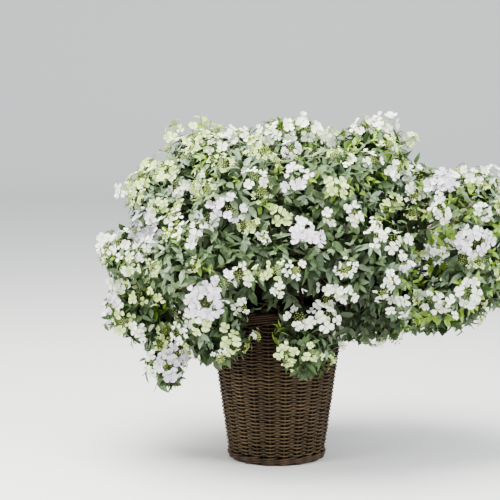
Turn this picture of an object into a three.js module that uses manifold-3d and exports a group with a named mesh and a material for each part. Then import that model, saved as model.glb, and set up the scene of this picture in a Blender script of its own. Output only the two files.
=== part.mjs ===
/**
 * A trailing lacecap hydrangea growing in a tall tapered wicker basket.
 *
 * Millimetres, +Z up. The origin is the centre of the basket's flat underside, -Y is the front
 * and +X is the side where the crown reaches furthest.
 */
import * as THREE from 'three';
import { mergeVertices } from 'three/addons/utils/BufferGeometryUtils.js';
import Module from 'manifold-3d';

const wasm = await Module();
wasm.setup();

// Clearances
const seatGap = 0.3; // between pieces that rest on or carry each other
const cellGap = 1.5; // from a mass of foliage to the plane it shares with a neighbour
const limbGap = 4; // from twigs, leaves and flower heads to the boughs and the stool
const basketGap = 6; // from foliage to the basket

// Wicker basket
const basketHeight = 490;
const baseRadius = 147;
const mouthRadius = 216;
const wallThickness = 14;
const floorThickness = 20;
const stakeCount = 22;
const weaveBands = 8;
const weaveSwell = 3.2; // where the rods pass outside a stake
const weaveDip = 6.4; // where they pass inside it
const footBorderHeight = 29;
const footBorderBulge = 7;
const footBorderRound = 4;
const rimBorderHeight = 43;
const rimBorderBulge = 8;
const rimRods = 3;
const rimGroove = 0.55; // depth that the grooves between the rim's rods leave, of the border's bulge
const rimLipHeight = 8;
const rimLipRound = 3;
const wallTop = basketHeight - rimLipHeight;
const borderSegments = 2 * stakeCount;

// Potting soil
const soilDrop = 35; // from the basket's mouth down to the soil
const soilHump = 6;
const soilSegments = 22;
const soilTop = basketHeight - soilDrop;

// Stool: the short woody foot that all the boughs spring from
const stoolHeight = 92;
const stoolFootRadius = 54;
const stoolWaistRadius = 36;
const stoolSides = 12;
// Its profile above the foot: radius as a share of the waist's, and height as a share of its own
const stoolProfile = [[1.12, 0.16], [1, 0.45], [0.82, 0.78], [0.4, 1]];

// Boughs
const boughFootRadius = 6.4;
const boughTipRadius = 4.2;
const boughSides = 4;
const boughSteps = 5;
const boughArch = 0.42; // how far a bough's two bends reach, of its length

// Where the boughs leave the stool, by the rise in degrees of the stems that they carry
const boughTiers = [
  { above: -90, below: -30, height: 24, steepness: 0.9 },
  { above: -30, below: 30, height: 48, steepness: 0.9 },
  { above: 30, below: 90, height: 64, steepness: 1.05 },
];

// Twigs, leaves and flower heads, larger than life because each stands for a spray
const stemRadius = 4.2;
const stemFootDepth = 0.78; // how far behind a mass's centre its stem begins, of the mass's half depth
const stemTipDepth = 0.4; // how far beyond the centre it ends
const twigRadius = 2.9;
const twigTaper = 0.7;
const twigsInMass = 11;
const twigReach = [0.68, 0.8]; // least and most, of the mass's half size
const twigLengths = [1, 0.85, 0.7]; // of the reach, the first that keeps to the mass's space
const twigSlant = 0.3; // how far a twig runs along its stem's heading, of the mass's half depth
const jointSpan = [0.2, 0.97]; // the stretch of the stem that twigs grow from
const innerLimit = -0.35; // twigs that face further in than this are left out
const leafLength = 135;
const leafWidth = 84;
const leafWidest = 0.42; // share of the length
const leafThickness = 3.4;
const leafFold = 9;
const leafSizes = [1.05, 0.85, 0.7];
const leafNode = 0.85; // share of a twig at which its pair of leaves grows
const leafSlant = 0.5; // how far a leaf leans along its twig
const leafDroop = 0.2;
const leafClaim = 0.21; // radius of the space that a leaf keeps to itself, of its length
const leafMiddle = 0.62; // where that space lies, as a share of the length
const headRadius = 70;
const headDepth = 26;
const headFlorets = 5;
const headNotch = { radius: 0.66, rise: 0.75 }; // between two florets, of the head's radius and depth
const headEdge = { radius: 1, rise: 0.62 }; // at a floret's tip
const headSizes = [1, 0.82];
const headLift = 0.6; // how far a head turns up from its twig
const headClaim = 0.62; // the space that a head keeps to itself, of its radius
const headLimit = -0.15; // heads that face further in than this are left out
const coreShare = 0.64; // half size of the dense middle of a mass, of the mass's half size
const coreStep = 0.03;
const reachSlack = 1.06; // how far leaves and heads may pass the mass's half size

// Masses of foliage: centre and half size along X, Y and Z, and the rise of the stem in degrees
const massSizes = {
  left_reach: { centre: [-395, -30, 650], spread: [160, 225, 108], rise: -5 },
  left_low: { centre: [-418, -30, 470], spread: [126, 150, 105], rise: -45 },
  left_hanging: { centre: [-338, -70, 345], spread: [76, 108, 120], rise: -72 },
  left_shoulder: { centre: [-325, 30, 785], spread: [156, 235, 146], rise: 35 },
  top_left: { centre: [-195, 0, 900], spread: [160, 225, 136], rise: 62 },
  top_middle: { centre: [40, 40, 925], spread: [148, 235, 150], rise: 80 },
  top_right: { centre: [280, 0, 898], spread: [156, 235, 152], rise: 60 },
  right_shoulder: { centre: [530, 5, 762], spread: [240, 240, 148], rise: 25 },
  right_reach: { centre: [600, -10, 590], spread: [172, 225, 135], rise: 0 },
  right_low: { centre: [465, -60, 505], spread: [178, 190, 112], rise: -22 },
  front_left: { centre: [-225, -265, 640], spread: [175, 170, 160], rise: 5 },
  front_middle: { centre: [10, -300, 645], spread: [170, 155, 145], rise: 8 },
  front_right: { centre: [245, -270, 635], spread: [175, 165, 160], rise: 5 },
  front_upper_left: { centre: [-100, -215, 835], spread: [165, 160, 155], rise: 45 },
  front_upper_right: { centre: [150, -220, 835], spread: [165, 160, 155], rise: 45 },
  front_left_hanging: { centre: [-190, -270, 455], spread: [108, 105, 125], rise: -60 },
  front_right_hanging: { centre: [85, -285, 425], spread: [102, 100, 135], rise: -68 },
  front_right_low: { centre: [285, -205, 495], spread: [145, 145, 108], rise: -30 },
  back_left: { centre: [-245, 255, 690], spread: [195, 190, 195], rise: 15 },
  back_middle: { centre: [30, 315, 720], spread: [180, 170, 200], rise: 15 },
  back_right: { centre: [310, 260, 690], spread: [195, 190, 195], rise: 15 },
  back_left_hanging: { centre: [-120, 275, 460], spread: [150, 130, 130], rise: -55 },
  back_right_hanging: { centre: [185, 275, 460], spread: [160, 130, 130], rise: -55 },
};

// Finishes
const wickerFinish = new THREE.MeshStandardMaterial({ color: 0x5a4630, roughness: 0.7, metalness: 0 });
const borderFinish = new THREE.MeshStandardMaterial({ color: 0x4a3828, roughness: 0.65, metalness: 0 });
const soilFinish = new THREE.MeshStandardMaterial({ color: 0x2c2018, roughness: 0.95, metalness: 0 });
const barkFinish = new THREE.MeshStandardMaterial({ color: 0x6b4a38, roughness: 0.85, metalness: 0 });
const foliageFinish = new THREE.MeshStandardMaterial({ color: 0x7c9463, roughness: 0.6, metalness: 0 });

const up = new THREE.Vector3(0, 0, 1);
const plant = new THREE.Group();

/** Adds a named piece with a finish of its own. */
function addPiece(name, geometry, finish) {
  const mesh = new THREE.Mesh(geometry, finish.clone());
  mesh.name = name;
  plant.add(mesh);
}

/** A repeatable stream of numbers from 0 to 1. */
function seededRandom(seed) {
  let state = seed >>> 0;
  return () => {
    state = (state + 0x6d2b79f5) >>> 0;
    let mixed = Math.imul(state ^ (state >>> 15), state | 1);
    mixed ^= mixed + Math.imul(mixed ^ (mixed >>> 7), mixed | 61);
    return ((mixed ^ (mixed >>> 14)) >>> 0) / 4294967296;
  };
}

/** Turns a closed geometry into a solid that can be joined and cut. */
function toSolid(geometry) {
  const bare = geometry.clone();
  bare.deleteAttribute('normal');
  bare.deleteAttribute('uv');
  const merged = mergeVertices(bare, 1e-4);
  const vertProperties = new Float32Array(merged.attributes.position.array);
  const triVerts = new Uint32Array(merged.index.array);
  return new wasm.Manifold(new wasm.Mesh({ numProp: 3, vertProperties, triVerts }));
}

/** Turns a solid back into a geometry. */
function toGeometry(solid) {
  const mesh = solid.getMesh();
  const geometry = new THREE.BufferGeometry();
  geometry.setAttribute('position', new THREE.BufferAttribute(new Float32Array(mesh.vertProperties), 3));
  geometry.setIndex(new THREE.BufferAttribute(new Uint32Array(mesh.triVerts), 1));
  geometry.computeVertexNormals();
  return geometry;
}

/** Joins solids, then keeps only the main body, so loose scraps go and sealed hollows are filled. */
function joinSolids(solids) {
  const joined = solids.reduce((whole, solid) => whole.add(solid));
  const bodies = joined.decompose();
  return bodies.reduce((best, body) => (body.volume() > best.volume() ? body : best));
}

/** A turned piece about the Z axis, from [radius, height] pairs. */
function turned(profile, segments) {
  const points = profile.map(([radius, height]) => new THREE.Vector2(radius, height));
  const geometry = new THREE.LatheGeometry(points, segments);
  geometry.rotateX(Math.PI / 2);
  return geometry;
}

/** Outer radius of the basket's wall at a height. */
function wallRadius(height) {
  return THREE.MathUtils.lerp(baseRadius, mouthRadius, height / basketHeight);
}

/** The basket's wall and floor, its weave swelling over and under the stakes in coarse bands. */
function basketBody() {
  const weaveTop = basketHeight - rimBorderHeight;
  const profile = [[0, 0], [baseRadius, 0]];
  for (let band = 0; band <= weaveBands; band++) {
    const height = THREE.MathUtils.lerp(footBorderHeight + seatGap, weaveTop - seatGap, band / weaveBands);
    profile.push([wallRadius(height), height]);
  }
  profile.push([wallRadius(wallTop), wallTop]);
  profile.push([wallRadius(wallTop) - wallThickness, wallTop]);
  profile.push([wallRadius(floorThickness) - wallThickness, floorThickness], [0, floorThickness]);
  const geometry = turned(profile, borderSegments);
  const position = geometry.attributes.position;
  const firstWoven = 3;
  const lastWoven = firstWoven + weaveBands - 2;
  for (let index = 0; index < position.count; index++) {
    const ring = index % profile.length;
    const segment = Math.floor(index / profile.length);
    if (ring < firstWoven || ring > lastWoven) continue;
    const radius = profile[ring][0];
    const swell = (ring + segment) % 2 === 0 ? weaveSwell : -weaveDip;
    const scale = (radius + swell) / radius;
    position.setX(index, position.getX(index) * scale);
    position.setY(index, position.getY(index) * scale);
  }
  return geometry;
}

/** The border wound round the basket's foot. */
function footBorder() {
  const outer = (height) => wallRadius(height) + footBorderBulge;
  return turned(
    [
      [wallRadius(0) + seatGap, 0],
      [outer(0) - footBorderRound, 0],
      [outer(0), footBorderHeight * 0.3],
      [outer(footBorderHeight), footBorderHeight * 0.7],
      [outer(footBorderHeight) - footBorderRound, footBorderHeight],
      [wallRadius(footBorderHeight) + seatGap, footBorderHeight],
      [wallRadius(0) + seatGap, 0],
    ],
    borderSegments,
  );
}

/** The border of thick rods plaited round the mouth, its top rod lying over the wall. */
function rimBorder() {
  const bottom = basketHeight - rimBorderHeight;
  const innerRadius = wallRadius(wallTop) - wallThickness;
  const profile = [[wallRadius(bottom) + seatGap, bottom]];
  for (let rod = 0; rod < rimRods; rod++) {
    const groove = bottom + (rimBorderHeight * rod) / rimRods;
    const swell = groove + rimBorderHeight / rimRods / 2;
    profile.push([wallRadius(groove) + rimBorderBulge * rimGroove, groove + seatGap]);
    profile.push([wallRadius(swell) + rimBorderBulge, swell]);
  }
  profile.push([wallRadius(basketHeight) + rimBorderBulge - 2 * rimLipRound, basketHeight]);
  profile.push([innerRadius + rimLipRound, basketHeight]);
  profile.push([innerRadius, wallTop + seatGap]);
  profile.push([wallRadius(wallTop) + seatGap, wallTop + seatGap]);
  profile.push([wallRadius(bottom) + seatGap, bottom]);
  return turned(profile, borderSegments);
}

/** The potting soil that fills the basket, level under the stool and lower at its edge. */
function soil() {
  const innerRadius = (height) => {
    const share = (height - floorThickness) / (wallTop - floorThickness);
    const foot = wallRadius(floorThickness) - wallThickness;
    const mouth = wallRadius(wallTop) - wallThickness;
    return THREE.MathUtils.lerp(foot, mouth, share) - seatGap;
  };
  const bottom = floorThickness + seatGap;
  const edge = soilTop - soilHump;
  return turned(
    [
      [0, bottom],
      [innerRadius(bottom), bottom],
      [innerRadius(edge), edge],
      [stoolFootRadius * 1.5, soilTop],
      [0, soilTop],
    ],
    soilSegments,
  );
}

/** The stool's surface, grown by an allowance. */
function stoolShape(allowance) {
  const foot = soilTop + seatGap - allowance;
  const flank = stoolProfile.map(([width, rise]) => [
    stoolWaistRadius * width + allowance,
    foot + stoolHeight * rise + allowance,
  ]);
  const top = foot + stoolHeight + allowance;
  return turned([[0, foot], [stoolFootRadius + allowance, foot], ...flank, [0, top]], stoolSides);
}

/** Bends an upright tapered rod along a curve. */
function limb(curve, footRadius, tipRadius, sides, steps) {
  const geometry = new THREE.CylinderGeometry(tipRadius, footRadius, 1, sides, steps);
  geometry.translate(0, 0.5, 0);
  const frames = curve.computeFrenetFrames(steps);
  const position = geometry.attributes.position;
  const point = new THREE.Vector3();
  for (let index = 0; index < position.count; index++) {
    const share = THREE.MathUtils.clamp(position.getY(index), 0, 1);
    const step = Math.round(share * steps);
    curve.getPointAt(step / steps, point);
    point.addScaledVector(frames.normals[step], position.getZ(index));
    point.addScaledVector(frames.binormals[step], position.getX(index));
    position.setXYZ(index, point.x, point.y, point.z);
  }
  geometry.computeVertexNormals();
  return geometry;
}

/** The masses with their stems and boughs, worked out from their sizes. */
function layOutMasses() {
  const masses = Object.entries(massSizes).map(([name, { centre, spread, rise }]) => {
    const middle = new THREE.Vector3(...centre);
    const size = new THREE.Vector3(...spread);
    const azimuth = Math.atan2(middle.y, middle.x);
    const pitch = THREE.MathUtils.degToRad(rise);
    const heading = new THREE.Vector3(
      Math.cos(pitch) * Math.cos(azimuth),
      Math.cos(pitch) * Math.sin(azimuth),
      Math.sin(pitch),
    );
    const halfDepth = 1 / heading.clone().divide(size).length();
    const stemFoot = middle.clone().addScaledVector(heading, -halfDepth * stemFootDepth);
    const stemTip = middle.clone().addScaledVector(heading, halfDepth * stemTipDepth);
    return { name, centre: middle, spread: size, rise, azimuth, heading, halfDepth, stemFoot, stemTip };
  });
  for (const { above, below, height, steepness } of boughTiers) {
    const tier = masses.filter((mass) => mass.rise > above && mass.rise <= below);
    tier.sort((first, second) => first.azimuth - second.azimuth);
    const turn = (2 * Math.PI) / tier.length;
    const drift = tier.reduce((sum, mass, place) => sum + mass.azimuth - turn * place, 0) / tier.length;
    tier.forEach((mass, place) => {
      const angle = drift + turn * place;
      const root = new THREE.Vector3(0, 0, soilTop + height);
      const outward = new THREE.Vector3(Math.cos(angle), Math.sin(angle), steepness).normalize();
      const tip = mass.stemFoot.clone().addScaledVector(mass.heading, -seatGap);
      const bend = root.distanceTo(tip) * boughArch;
      mass.bough = new THREE.CubicBezierCurve3(
        root,
        root.clone().addScaledVector(outward, bend),
        tip.clone().addScaledVector(mass.heading, -bend),
        tip,
      );
    });
  }
  return masses;
}

const masses = layOutMasses();
const limbPaths = masses.map((mass) => mass.bough.getSpacedPoints(2 * boughSteps));
const limbSpaces = masses.map((mass) =>
  toSolid(limb(mass.bough, boughFootRadius + limbGap, boughTipRadius + limbGap, boughSides, boughSteps)),
);

/** The shortest distance between two straight stretches. */
function stretchDistance(startA, endA, startB, endB) {
  let shortest = Infinity;
  const line = new THREE.Line3(startB, endB);
  const probe = new THREE.Vector3();
  const nearest = new THREE.Vector3();
  const probes = 6;
  for (let step = 0; step <= probes; step++) {
    probe.lerpVectors(startA, endA, step / probes);
    line.closestPointToPoint(probe, true, nearest);
    shortest = Math.min(shortest, probe.distanceTo(nearest));
  }
  return shortest;
}

/** Whether a stretch with some thickness clears the boughs and the stool. */
function clearsLimbs(start, end, thickness) {
  const clearance = thickness + boughFootRadius + limbGap;
  const clearsBoughs = limbPaths.every((path) => {
    for (let step = 1; step < path.length; step++) {
      if (stretchDistance(start, end, path[step - 1], path[step]) < clearance) return false;
    }
    return true;
  });
  const stoolBottom = new THREE.Vector3(0, 0, soilTop);
  const stoolSummit = new THREE.Vector3(0, 0, soilTop + stoolHeight);
  const stoolClearance = thickness + stoolFootRadius + limbGap;
  return clearsBoughs && stretchDistance(start, end, stoolBottom, stoolSummit) > stoolClearance;
}

/** Whether points keep to the mass's own space: its reach, its side of each shared plane, off the basket. */
function keepsToSpace(mass, points) {
  return points.every((point) => {
    const offset = point.clone().sub(mass.centre);
    if (offset.clone().divide(mass.spread).length() > reachSlack) return false;
    const onOwnSide = masses.every((other) => {
      if (other === mass) return true;
      const lead = point.distanceToSquared(other.centre) - offset.lengthSq();
      return lead > 2 * cellGap * mass.centre.distanceTo(other.centre);
    });
    const fromAxis = Math.hypot(point.x, point.y);
    const overBasket = point.z > basketHeight + basketGap;
    const besideBasket = fromAxis > wallRadius(Math.max(point.z, 0)) + rimBorderBulge + basketGap;
    return onOwnSide && (overBasket || besideBasket);
  });
}

/** Points along the straight edges between corners, so that a long edge can't cross the basket unseen. */
function alongEdges(corners) {
  return corners.flatMap((corner, place) => {
    const next = corners[(place + 1) % corners.length];
    return [0, 0.25, 0.5, 0.75].map((share) => corner.clone().lerp(next, share));
  });
}

/** A closed geometry from corners and faces. */
function facetGeometry(corners, faces) {
  const geometry = new THREE.BufferGeometry().setFromPoints(corners);
  geometry.setIndex(faces.flat());
  return geometry;
}

/** A direction square to another, level unless that one is nearly upright. */
function squareTo(direction) {
  const aside = Math.abs(direction.z) > 0.9 ? new THREE.Vector3(1, 0, 0) : up;
  return new THREE.Vector3().crossVectors(aside, direction).normalize();
}

/** A three-sided tapering twig. */
function twigSolid(start, end, radius) {
  const path = new THREE.LineCurve3(start, end);
  return toSolid(limb(path, radius, radius * twigTaper, 3, 1));
}

/** The six corners of a folded leaf that grows from root along a direction, its upper face up. */
function leafCorners(root, along, face, size) {
  const side = new THREE.Vector3().crossVectors(face, along).normalize();
  const upper = new THREE.Vector3().crossVectors(along, side).normalize();
  const place = (forward, sideways, upward) => {
    const corner = root.clone().addScaledVector(along, forward * size);
    return corner.addScaledVector(side, sideways * size).addScaledVector(upper, upward * size);
  };
  const widest = leafLength * leafWidest;
  return {
    base: place(0, 0, 0),
    tip: place(leafLength, 0, -leafFold),
    left: place(widest, leafWidth / 2, leafFold / 2),
    right: place(widest, -leafWidth / 2, leafFold / 2),
    over: place(widest, 0, leafThickness / 2),
    under: place(widest, 0, -leafThickness / 2),
  };
}

/** A leaf of eight faces. */
function leafSolid({ base, tip, left, right, over, under }) {
  const corners = [base, left, tip, right, over, under];
  const faces = [];
  for (let place = 0; place < 4; place++) {
    const next = (place + 1) % 4;
    faces.push([next, place, 4], [place, next, 5]);
  }
  return toSolid(facetGeometry(corners, faces));
}

/** The rim corners of a flower head: one outer corner for each showy floret, with notches between. */
function headCorners(foot, axis, size, turn) {
  const side = squareTo(axis);
  const across = new THREE.Vector3().crossVectors(axis, side);
  const rim = [];
  for (let place = 0; place < 2 * headFlorets; place++) {
    const angle = turn + (Math.PI * place) / headFlorets;
    const { radius, rise } = place % 2 === 0 ? headEdge : headNotch;
    const corner = foot.clone().addScaledVector(axis, headDepth * size * rise);
    corner.addScaledVector(side, headRadius * size * radius * Math.cos(angle));
    corner.addScaledVector(across, headRadius * size * radius * Math.sin(angle));
    rim.push(corner);
  }
  return rim;
}

/** A lacecap flower head: a shallow scalloped dish on its stalk. */
function headSolid(foot, axis, size, rim) {
  const crown = foot.clone().addScaledVector(axis, headDepth * size);
  const corners = [...rim, crown, foot];
  const faces = [];
  rim.forEach((_, place) => {
    const next = (place + 1) % rim.length;
    faces.push([place, next, rim.length], [next, place, rim.length + 1]);
  });
  return toSolid(facetGeometry(corners, faces));
}

/** The dense middle of a mass, drawn in at the edge of its space and smaller where a bough passes. */
function coreSolid(mass) {
  for (let wanted = coreShare; ; wanted -= coreStep) {
    const geometry = new THREE.OctahedronGeometry(1, 1);
    const position = geometry.attributes.position;
    const corner = new THREE.Vector3();
    for (let index = 0; index < position.count; index++) {
      corner.fromBufferAttribute(position, index).normalize().multiply(mass.spread);
      let share = wanted;
      const reached = () => corner.clone().multiplyScalar(share).add(mass.centre);
      while (share > coreStep && !keepsToSpace(mass, [reached()])) share -= coreStep;
      position.setXYZ(index, ...reached());
    }
    const core = toSolid(geometry);
    if (limbSpaces.every((space) => space.intersect(core).isEmpty())) return core;
  }
}

/** Evenly spread directions, turned by a seeded angle. */
function spreadDirections(count, turn) {
  const goldenAngle = Math.PI * (3 - Math.sqrt(5));
  return Array.from({ length: count }, (_, place) => {
    const height = 1 - (2 * (place + 0.5)) / count;
    const radius = Math.sqrt(1 - height * height);
    const angle = goldenAngle * place + turn;
    return new THREE.Vector3(radius * Math.cos(angle), radius * Math.sin(angle), height);
  });
}

/** Where a twig leaves its stem and where it ends, for a direction and a reach. */
function twigLine(mass, direction, reach) {
  const target = direction.clone().multiply(mass.spread).multiplyScalar(reach).add(mass.centre);
  const stemLength = mass.stemFoot.distanceTo(mass.stemTip);
  const forward = target.clone().sub(mass.stemFoot).dot(mass.heading) - mass.halfDepth * twigSlant;
  const share = THREE.MathUtils.clamp(forward / stemLength, ...jointSpan);
  return { joint: mass.stemFoot.clone().lerp(mass.stemTip, share), target };
}

/** The stem, twigs, leaves and flower heads of a mass, grown by its seed and fused round its core. */
function growMass(mass, seed) {
  const random = seededRandom(seed);
  const solids = [twigSolid(mass.stemFoot, mass.stemTip, stemRadius), coreSolid(mass)];
  const claimed = [];
  const outward = mass.centre.clone().sub(new THREE.Vector3(0, 0, soilTop)).normalize();
  for (const direction of spreadDirections(twigsInMass, random() * Math.PI)) {
    const facing = direction.dot(outward);
    const reach = THREE.MathUtils.lerp(...twigReach, random());
    const turn = random() * Math.PI;
    if (facing < innerLimit) continue;
    for (const length of twigLengths) {
      const { joint, target } = twigLine(mass, direction, reach * length);
      if (!keepsToSpace(mass, alongEdges([joint, target])) || !clearsLimbs(joint, target, twigRadius)) continue;
      const lean = target.clone().sub(joint).normalize();
      const spray = [
        ...(facing > headLimit ? growHead(mass, target, lean, turn, claimed) : []),
        ...growLeafPair(mass, joint.clone().lerp(target, leafNode), lean, turn, claimed),
      ];
      if (spray.length === 0) continue;
      solids.push(twigSolid(joint, target, twigRadius), ...spray);
      break;
    }
  }
  return joinSolids(solids);
}

/** Claims a round space for a leaf or a head, unless one already grown is in it. */
function claimSpace(claimed, centre, radius) {
  if (claimed.some((space) => space.centre.distanceTo(centre) < space.radius + radius)) return false;
  claimed.push({ centre, radius });
  return true;
}

/** A flower head at a twig's end that faces up and out, left out where it doesn't fit. */
function growHead(mass, end, lean, turn, claimed) {
  const axis = lean.clone().addScaledVector(up, headLift).normalize();
  const foot = end.clone().addScaledVector(lean, -twigRadius);
  for (const size of headSizes) {
    const rim = headCorners(foot, axis, size, turn);
    const crown = foot.clone().addScaledVector(axis, headDepth * size);
    if (!clearsLimbs(foot, crown, headRadius * size)) continue;
    if (!keepsToSpace(mass, [...alongEdges(rim), crown])) continue;
    if (claimSpace(claimed, crown, headRadius * size * headClaim)) return [headSolid(foot, axis, size, rim)];
  }
  return [];
}

/** A pair of opposite leaves, each left out where it doesn't fit. */
function growLeafPair(mass, node, lean, turn, claimed) {
  const side = squareTo(lean).applyAxisAngle(lean, turn);
  const leaves = [];
  for (const hand of [1, -1]) {
    const along = lean.clone().multiplyScalar(leafSlant).addScaledVector(side, hand);
    along.addScaledVector(up, -leafDroop).normalize();
    const root = node.clone().addScaledVector(along, -twigRadius);
    const face = lean.clone().add(up).normalize();
    for (const size of leafSizes) {
      const corners = leafCorners(root, along, face, size);
      const { base, tip, left, right } = corners;
      if (!clearsLimbs(base, tip, (leafWidth / 2) * size)) continue;
      if (!keepsToSpace(mass, alongEdges([base, left, tip, right]))) continue;
      const middle = base.clone().lerp(tip, leafMiddle);
      if (!claimSpace(claimed, middle, leafLength * size * leafClaim)) continue;
      leaves.push(leafSolid(corners));
      break;
    }
  }
  return leaves;
}

addPiece('basket_body', basketBody(), wickerFinish);
addPiece('basket_foot_border', footBorder(), borderFinish);
addPiece('basket_rim_border', rimBorder(), borderFinish);
addPiece('potting_soil', soil(), soilFinish);
addPiece('stool', stoolShape(0), barkFinish);

const stoolCut = toSolid(stoolShape(seatGap));
for (const mass of masses) {
  const bough = toSolid(limb(mass.bough, boughFootRadius, boughTipRadius, boughSides, boughSteps));
  addPiece(`bough_${mass.name}`, toGeometry(bough.subtract(stoolCut)), barkFinish);
}

masses.forEach((mass, place) => {
  addPiece(`foliage_${mass.name}`, toGeometry(growMass(mass, 101 + 37 * place)), foliageFinish);
});

export default plant;
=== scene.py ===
"""A trailing lacecap hydrangea in a tall wicker basket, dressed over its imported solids.

Metres, +Z up. The basket stands on the floor at the origin and -Y is the front. The limbs and the
masses of foliage follow the same sizes and the same rule as the solids, and grow on from them to
finer twigs, leaves and florets within the same reach.
"""

from __future__ import annotations

import logging
import math
from dataclasses import dataclass, field, replace
from enum import Enum
from typing import Callable, Collection, Iterable, Sequence

import bpy
import numpy as np
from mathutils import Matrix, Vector


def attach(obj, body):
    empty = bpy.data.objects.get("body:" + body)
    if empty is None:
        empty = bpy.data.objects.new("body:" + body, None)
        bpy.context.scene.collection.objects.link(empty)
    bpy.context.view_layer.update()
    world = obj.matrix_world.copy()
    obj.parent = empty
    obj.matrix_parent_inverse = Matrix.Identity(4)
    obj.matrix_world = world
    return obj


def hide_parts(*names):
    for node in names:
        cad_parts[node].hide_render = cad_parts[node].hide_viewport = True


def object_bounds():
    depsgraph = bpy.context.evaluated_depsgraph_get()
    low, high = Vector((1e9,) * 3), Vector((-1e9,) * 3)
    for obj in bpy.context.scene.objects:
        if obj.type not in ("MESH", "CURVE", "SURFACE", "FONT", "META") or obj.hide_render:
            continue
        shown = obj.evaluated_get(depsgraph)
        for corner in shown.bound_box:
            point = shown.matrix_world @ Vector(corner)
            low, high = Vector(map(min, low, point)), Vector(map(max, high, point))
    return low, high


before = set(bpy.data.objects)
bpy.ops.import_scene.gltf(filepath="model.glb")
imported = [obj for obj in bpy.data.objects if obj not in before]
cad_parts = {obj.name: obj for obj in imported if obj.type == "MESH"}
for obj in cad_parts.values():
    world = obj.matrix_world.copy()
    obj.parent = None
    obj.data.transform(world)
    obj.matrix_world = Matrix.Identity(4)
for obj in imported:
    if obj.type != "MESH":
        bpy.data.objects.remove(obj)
cad_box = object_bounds()

LOG = logging.getLogger("hydrangea")
BODY = "root"
Array = np.ndarray
Pair = tuple[float, float]
Place = tuple[float, float, float]
Colour = Place
Patch = tuple[Array, Array, Array]
Material = bpy.types.Material
Socket = bpy.types.NodeSocket
Tree = bpy.types.NodeTree
UP = np.array([0.0, 0.0, 1.0])
GOLDEN_ANGLE = math.pi * (3 - math.sqrt(5))


def unit(vectors: Array) -> Array:
    """Vectors along the last axis, scaled to a length of one."""
    length = np.linalg.norm(vectors, axis=-1, keepdims=True)
    return vectors / np.maximum(length, 1e-12)


def square_to(directions: Array) -> Array:
    """Directions square to others, level unless those are nearly upright."""
    directions = np.atleast_2d(directions)
    steep = np.abs(directions[:, 2:3]) > 0.9
    aside = np.where(steep, np.array([1.0, 0.0, 0.0]), UP)
    return unit(np.cross(aside, directions))


def turned_about(vectors: Array, axes: Array, angles: Array) -> Array:
    """Vectors turned about axes by angles, row by row."""
    cosine, sine = np.cos(angles)[:, None], np.sin(angles)[:, None]
    along = np.sum(vectors * axes, axis=1, keepdims=True)
    return vectors * cosine + np.cross(axes, vectors) * sine + axes * along * (1 - cosine)


def spread_directions(count: int, turn: float) -> Array:
    """Evenly spread directions, turned by an angle.

    Args:
        count: How many directions.
        turn: The angle that turns the whole set, in radians.

    Returns:
        An array of unit vectors, from the top down.
    """
    place = np.arange(count)
    height = 1 - 2 * (place + 0.5) / count
    radius = np.sqrt(1 - height**2)
    angle = GOLDEN_ANGLE * place + turn
    return np.stack([radius * np.cos(angle), radius * np.sin(angle), height], axis=1)


class SeededStream:
    """A repeatable stream of numbers from 0 to 1, the one that the solids' twigs are drawn from."""

    MASK = 0xFFFFFFFF

    def __init__(self, seed: int) -> None:
        """Starts the stream at a seed."""
        self.state = seed & self.MASK

    def draw(self) -> float:
        """The next number."""
        self.state = (self.state + 0x6D2B79F5) & self.MASK
        mixed = ((self.state ^ (self.state >> 15)) * (self.state | 1)) & self.MASK
        mixed ^= (mixed + (((mixed ^ (mixed >> 7)) * (mixed | 61)) & self.MASK)) & self.MASK
        return ((mixed ^ (mixed >> 14)) & self.MASK) / 4294967296


@dataclass
class MeshBatch:
    """Vertices, triangles and texture places gathered for one joined piece."""

    vertices: list[Array] = field(default_factory=list)
    triangles: list[Array] = field(default_factory=list)
    places: list[Array] = field(default_factory=list)
    count: int = 0

    def add(self, vertices: Array, triangles: Array, places: Array) -> None:
        """Adds a patch of mesh.

        Args:
            vertices: Its points, one row each.
            triangles: Three point numbers a row, counted within the patch.
            places: A texture place for each point.
        """
        self.vertices.append(vertices)
        self.triangles.append(triangles + self.count)
        self.places.append(places)
        self.count += len(vertices)

    def build(self, name: str) -> bpy.types.Object:
        """Makes the piece, shaded smooth.

        Args:
            name: The piece's name.

        Returns:
            The new object, linked to the scene.
        """
        vertices = np.concatenate(self.vertices).astype(np.float32)
        triangles = np.concatenate(self.triangles).astype(np.int32)
        places = np.concatenate(self.places).astype(np.float32)
        mesh = bpy.data.meshes.new(name)
        mesh.vertices.add(len(vertices))
        mesh.vertices.foreach_set("co", vertices.ravel())
        mesh.loops.add(triangles.size)
        mesh.loops.foreach_set("vertex_index", triangles.ravel())
        mesh.polygons.add(len(triangles))
        mesh.polygons.foreach_set("loop_start", np.arange(0, triangles.size, 3, dtype=np.int32))
        mesh.polygons.foreach_set("use_smooth", np.ones(len(triangles), bool))
        layer = mesh.uv_layers.new(name="place")
        layer.data.foreach_set("uv", places[triangles.ravel()].ravel())
        mesh.validate()
        mesh.update()
        piece = bpy.data.objects.new(name, mesh)
        bpy.context.scene.collection.objects.link(piece)
        return piece

    def dress(self, name: str, material: Material, slot: str, nodes: Iterable[str] = ()) -> None:
        """Builds the piece, gives it its finish, sets it on the body and hides the solids that it replaces.

        Args:
            name: The piece's name.
            material: Its finish.
            slot: Not used.
            nodes: The solids that it replaces.
        """
        piece = self.build(name)
        piece.data.materials.append(material)
        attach(piece, BODY)
        if nodes:
            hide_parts(*nodes)
        LOG.info("%s: %d faces, finish %s", name, len(piece.data.polygons), material.name)


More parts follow.
